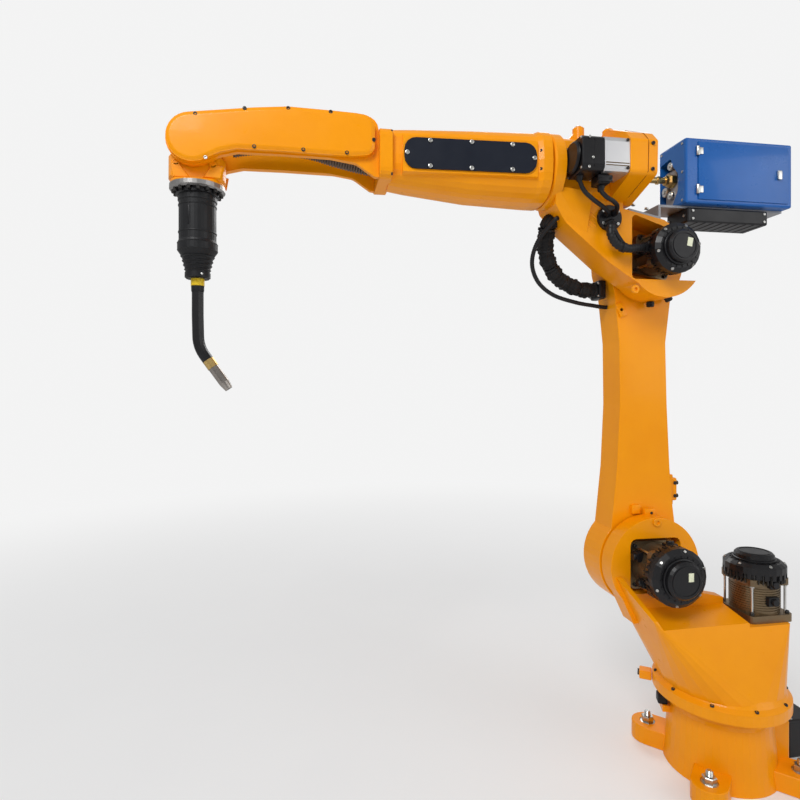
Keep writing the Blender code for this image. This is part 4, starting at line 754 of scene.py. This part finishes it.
# Feeder: door, hinges, feed rollers, wire inlet, nuts on the brass tube, junction box ribs

feeder = {"front": 0.138, "near": 0.062, "rear": -0.152}
door = bmesh.new()
boxed(door, (0.244, 0.0030, 0.138), aim((-0.0165, feeder["near"] + 0.0014, 1.4708), (0, 0, 1)), 0.0012)
piece(door, "feederDoor", feederBlue, "elbow")
fittings = bmesh.new()
for z in (1.425, 1.517):
    spun(fittings, [(0.0038, -0.011), (0.0042, -0.010), (0.0042, 0.010), (0.0038, 0.011)],
         aim((0.1075, feeder["near"] + 0.0028, z), (0, 0, 1)), 16)
    boxed(fittings, (0.012, 0.0022, 0.016), aim((0.1000, feeder["near"] + 0.0034, z), (0, 0, 1)), 0.0006)
boxed(fittings, (0.012, 0.006, 0.022), aim((-0.112, feeder["near"] + 0.0052, 1.470), (0, 0, 1)), 0.002)
piece(fittings, "feederHinges", boltSteel, "elbow")
capScrews("feederFrontScrews", boltSteel, "elbow",
          [((feeder["front"] + 0.0001, y, z), (1, 0, 0)) for y, z in ((0.050, 1.402), (0.050, 1.538), (-0.030, 1.540),
                                                                      (0.050, 1.470))], 0.0030, 0.0018)
knobs = bmesh.new()
for y, z, r in ((-0.004, 1.5120 - 0.008, 0.0100), (-0.026, 1.4450, 0.0120), (-0.004, 1.4300, 0.0100)):
    at = aim((feeder["front"] - 0.0119, y, z), (1, 0, 0))
    spun(knobs, [(r, 0.0), (r, 0.007), (r * 0.86, 0.0085), (r * 0.42, 0.0085), (r * 0.40, 0.0110), (0, 0.0110)],
         at, 24)
    for k in range(12):
        a = math.tau * k / 12
        tooth = at @ Matrix.Translation((r * math.cos(a), r * math.sin(a), 0.0038))
        boxed(knobs, (0.0016, 0.0016, 0.0060), tooth, 0.0004)
piece(knobs, "feedRollers", boltSteel, "elbow")
posts = bmesh.new()
for y in (-0.030, -0.010):
    spun(posts, [(0.0034, 0.0), (0.0034, 0.028), (0.0075, 0.029), (0.0082, 0.034), (0.0078, 0.041), (0.004, 0.043),
                 (0, 0.043)], aim((feeder["front"] - 0.034, y, 1.4955), (0, 0, 1)), 18)
piece(posts, "pressurePosts", greyPlate, "elbow")
nuts = bmesh.new()
for x, r in ((0.1480, 0.0118), (0.1700, 0.0100), (0.2520, 0.0105)):
    spun(nuts, [(0.0076, -0.004), (r, -0.004), (r, 0.003), (r * 0.9, 0.004), (0.0076, 0.004)],
         aim((x, 0, axisZ), (1, 0, 0)), 6)
piece(nuts, "brassNuts", brass, "elbow")
inlet = bmesh.new()
at = aim((feeder["rear"] - 0.0001, -0.006, axisZ), (-1, 0, 0))
spun(inlet, [(0.014, 0.0), (0.014, 0.005), (0.010, 0.006), (0.010, 0.016), (0.0085, 0.018), (0.0055, 0.018),
             (0.0050, 0.004), (0, 0.004)], at, 24)
piece(inlet, "wireInlet", brass, "elbow")
ridge = bmesh.new()
for k in range(9):
    boxed(ridge, (0.0035, 0.070, 0.0016), aim((-0.080 + 0.022 * k, 0.012, 1.3502), (0, 0, 1)), 0.0006)
piece(ridge, "junctionRibs", black, "elbow")
capScrews("junctionScrews", boltSteel, "elbow",
          [((x, 0.0502, z), (0, 1, 0)) for x in (-0.085, 0.110) for z in (1.359, 1.378)]
          + [((0.1252, y, 1.368), (1, 0, 0)) for y in (-0.018, 0.038)], 0.0032, 0.0018)
capScrews("bracketScrews", boltSteel, "elbow",
          [((x, y, 1.3797 + (x - 0.193) * 0.2056), (-0.2, 0, 0.98)) for x in (0.215, 0.250) for y in (-0.024, 0.022)],
          0.0048, 0.0036)
print("stage: feeder")

# Base connector box: lid screws, socket pins, socket flanges and their screws

pins = bmesh.new()
for side in (-1, 1):
    for ring, count in ((0.0, 1), (0.006, 6), (0.0118, 11)):
        for k in range(count):
            a = math.tau * k / max(count, 1)
            spun(pins, [(0.0010, 0.0), (0.0010, 0.006), (0, 0.0068)],
                 aim((-0.2297, side * 0.034 + ring * math.cos(a), 0.083 + ring * math.sin(a)), (-1, 0, 0)), 8)
piece(pins, "socketPins", brass, "base")
flanges = bmesh.new()
for side in (-1, 1):
    boxed(flanges, (0.004, 0.058, 0.058), aim((-0.2200, side * 0.034, 0.083), (0, 0, 1)), 0.0016)
piece(flanges, "socketFlanges", boltSteel, "base")
capScrews("socketScrews", boltBlack, "base",
          [((-0.2221, side * 0.034 + sy * 0.0235, 0.083 + sz * 0.0235), (-1, 0, 0))
           for side in (-1, 1) for sy in (-1, 1) for sz in (-1, 1)], 0.0026, 0.0018)
capScrews("boxLidScrews", boltSteel, "base",
          [((x, sy * 0.060, 0.1291), (0, 0, 1)) for x in (-0.150, -0.205) for sy in (-1, 1)]
          + [((-0.2194, sy * 0.060, 0.046), (-1, 0, 0)) for sy in (-1, 1)], 0.0034, 0.0020)
print("stage: connector box")

# Floor, light and camera

def addPlane(name, size, z, mat):
    bpy.ops.mesh.primitive_plane_add(size=size, location=(0.5, 0, z))
    plane = bpy.context.object
    plane.name = name
    plane.data.materials.append(mat)
    return plane


# The floor fades into the white background a few metres out, for camera rays alone
floorMat, floorTree, floorShader = newMaterial("paleFloor")
floorShader.inputs["Roughness"].default_value = 0.9
floorShader.inputs["Specular IOR Level"].default_value = 0.1
floorTree.links.new(mixColour(floorTree, noise(floorTree, 3.0), (0.90, 0.90, 0.90), (0.87, 0.87, 0.875)),
                    floorShader.inputs["Base Color"])
floorCoord = floorTree.nodes.new("ShaderNodeTexCoord")
reach = floorTree.nodes.new("ShaderNodeVectorMath")
reach.operation = "LENGTH"
floorTree.links.new(floorCoord.outputs["Object"], reach.inputs[0])
floorPath = floorTree.nodes.new("ShaderNodeLightPath")
fade = floorTree.nodes.new("ShaderNodeMath")
fade.operation = "MULTIPLY"
fadeOut = spread(floorTree, reach.outputs["Value"], 0.2, 4.2, 0.15, 1.0)
fadeOut.node.interpolation_type = "SMOOTHSTEP"
floorTree.links.new(fadeOut, fade.inputs[0])
floorTree.links.new(floorPath.outputs["Is Camera Ray"], fade.inputs[1])
glow = floorTree.nodes.new("ShaderNodeEmission")
glow.inputs["Strength"].default_value = 0.90
blendShader = floorTree.nodes.new("ShaderNodeMixShader")
floorTree.links.new(fade.outputs[0], blendShader.inputs[0])
floorTree.links.new(floorShader.outputs[0], blendShader.inputs[1])
floorTree.links.new(glow.outputs[0], blendShader.inputs[2])
floorOut = next(node for node in floorTree.nodes if node.type == "OUTPUT_MATERIAL")
floorTree.links.new(blendShader.outputs[0], floorOut.inputs[0])
addPlane("studioFloor", 40, -0.0005, floorMat)

world = bpy.data.worlds.new("studio")
bpy.context.scene.world = world
world.use_nodes = True
tree = world.node_tree
background = tree.nodes["Background"]
background.inputs["Color"].default_value = (1, 1, 1, 1)
path = tree.nodes.new("ShaderNodeLightPath")
maximum = tree.nodes.new("ShaderNodeMath")
maximum.operation = "MAXIMUM"
tree.links.new(path.outputs["Is Camera Ray"], maximum.inputs[0])
tree.links.new(path.outputs["Is Transmission Ray"], maximum.inputs[1])
dim = spread(tree, path.outputs["Is Glossy Ray"], 0, 1, 0.36, 0.48)
shine = tree.nodes.new("ShaderNodeMix")
tree.links.new(maximum.outputs[0], shine.inputs["Factor"])
tree.links.new(dim, shine.inputs[2])
shine.inputs[3].default_value = 0.90
tree.links.new(shine.outputs[0], background.inputs["Strength"])


def areaLamp(name, place, target, size, power):
    data = bpy.data.lights.new(name, "AREA")
    data.shape = "RECTANGLE"
    data.size, data.size_y = size
    data.energy = power
    lamp = bpy.data.objects.new(name, data)
    bpy.context.scene.collection.objects.link(lamp)
    lamp.location = place
    lamp.rotation_euler = (Vector(target) - Vector(place)).to_track_quat("-Z", "Y").to_euler()
    return lamp


lamps = [
    {"name": "keyLamp", "place": (2.4, 2.6, 3.6), "target": (0.5, 0, 1.0), "size": (1.6, 1.6), "power": 95},
    {"name": "fillLamp", "place": (-2.4, 2.4, 1.9), "target": (0.3, 0, 0.9), "size": (2.2, 2.2), "power": 26},
    {"name": "rimLamp", "place": (-0.6, -2.8, 2.8), "target": (0.4, 0, 1.1), "size": (2.0, 1.4), "power": 34},
]
for lamp in lamps:
    areaLamp(**lamp)

camera = bpy.data.objects.new("photoCamera", bpy.data.cameras.new("photoCamera"))
bpy.context.scene.collection.objects.link(camera)
bpy.context.scene.camera = camera
cameraSpec = {"place": (1.025, 1.281, 0.958), "yaw": 9.1, "focal": 562.0, "horizon": 384.0}
camera.data.sensor_width = 36.0
camera.data.lens = cameraSpec["focal"] * 36.0 / 800.0
camera.data.shift_y = (cameraSpec["horizon"] - 400.0) / 800.0
camera.data.clip_start = 0.05
camera.location = cameraSpec["place"]
heading = Vector((-math.sin(math.radians(cameraSpec["yaw"])), -math.cos(math.radians(cameraSpec["yaw"])), 0))
camera.rotation_euler = heading.to_track_quat("-Z", "Y").to_euler()
print("stage: floor, light and camera")
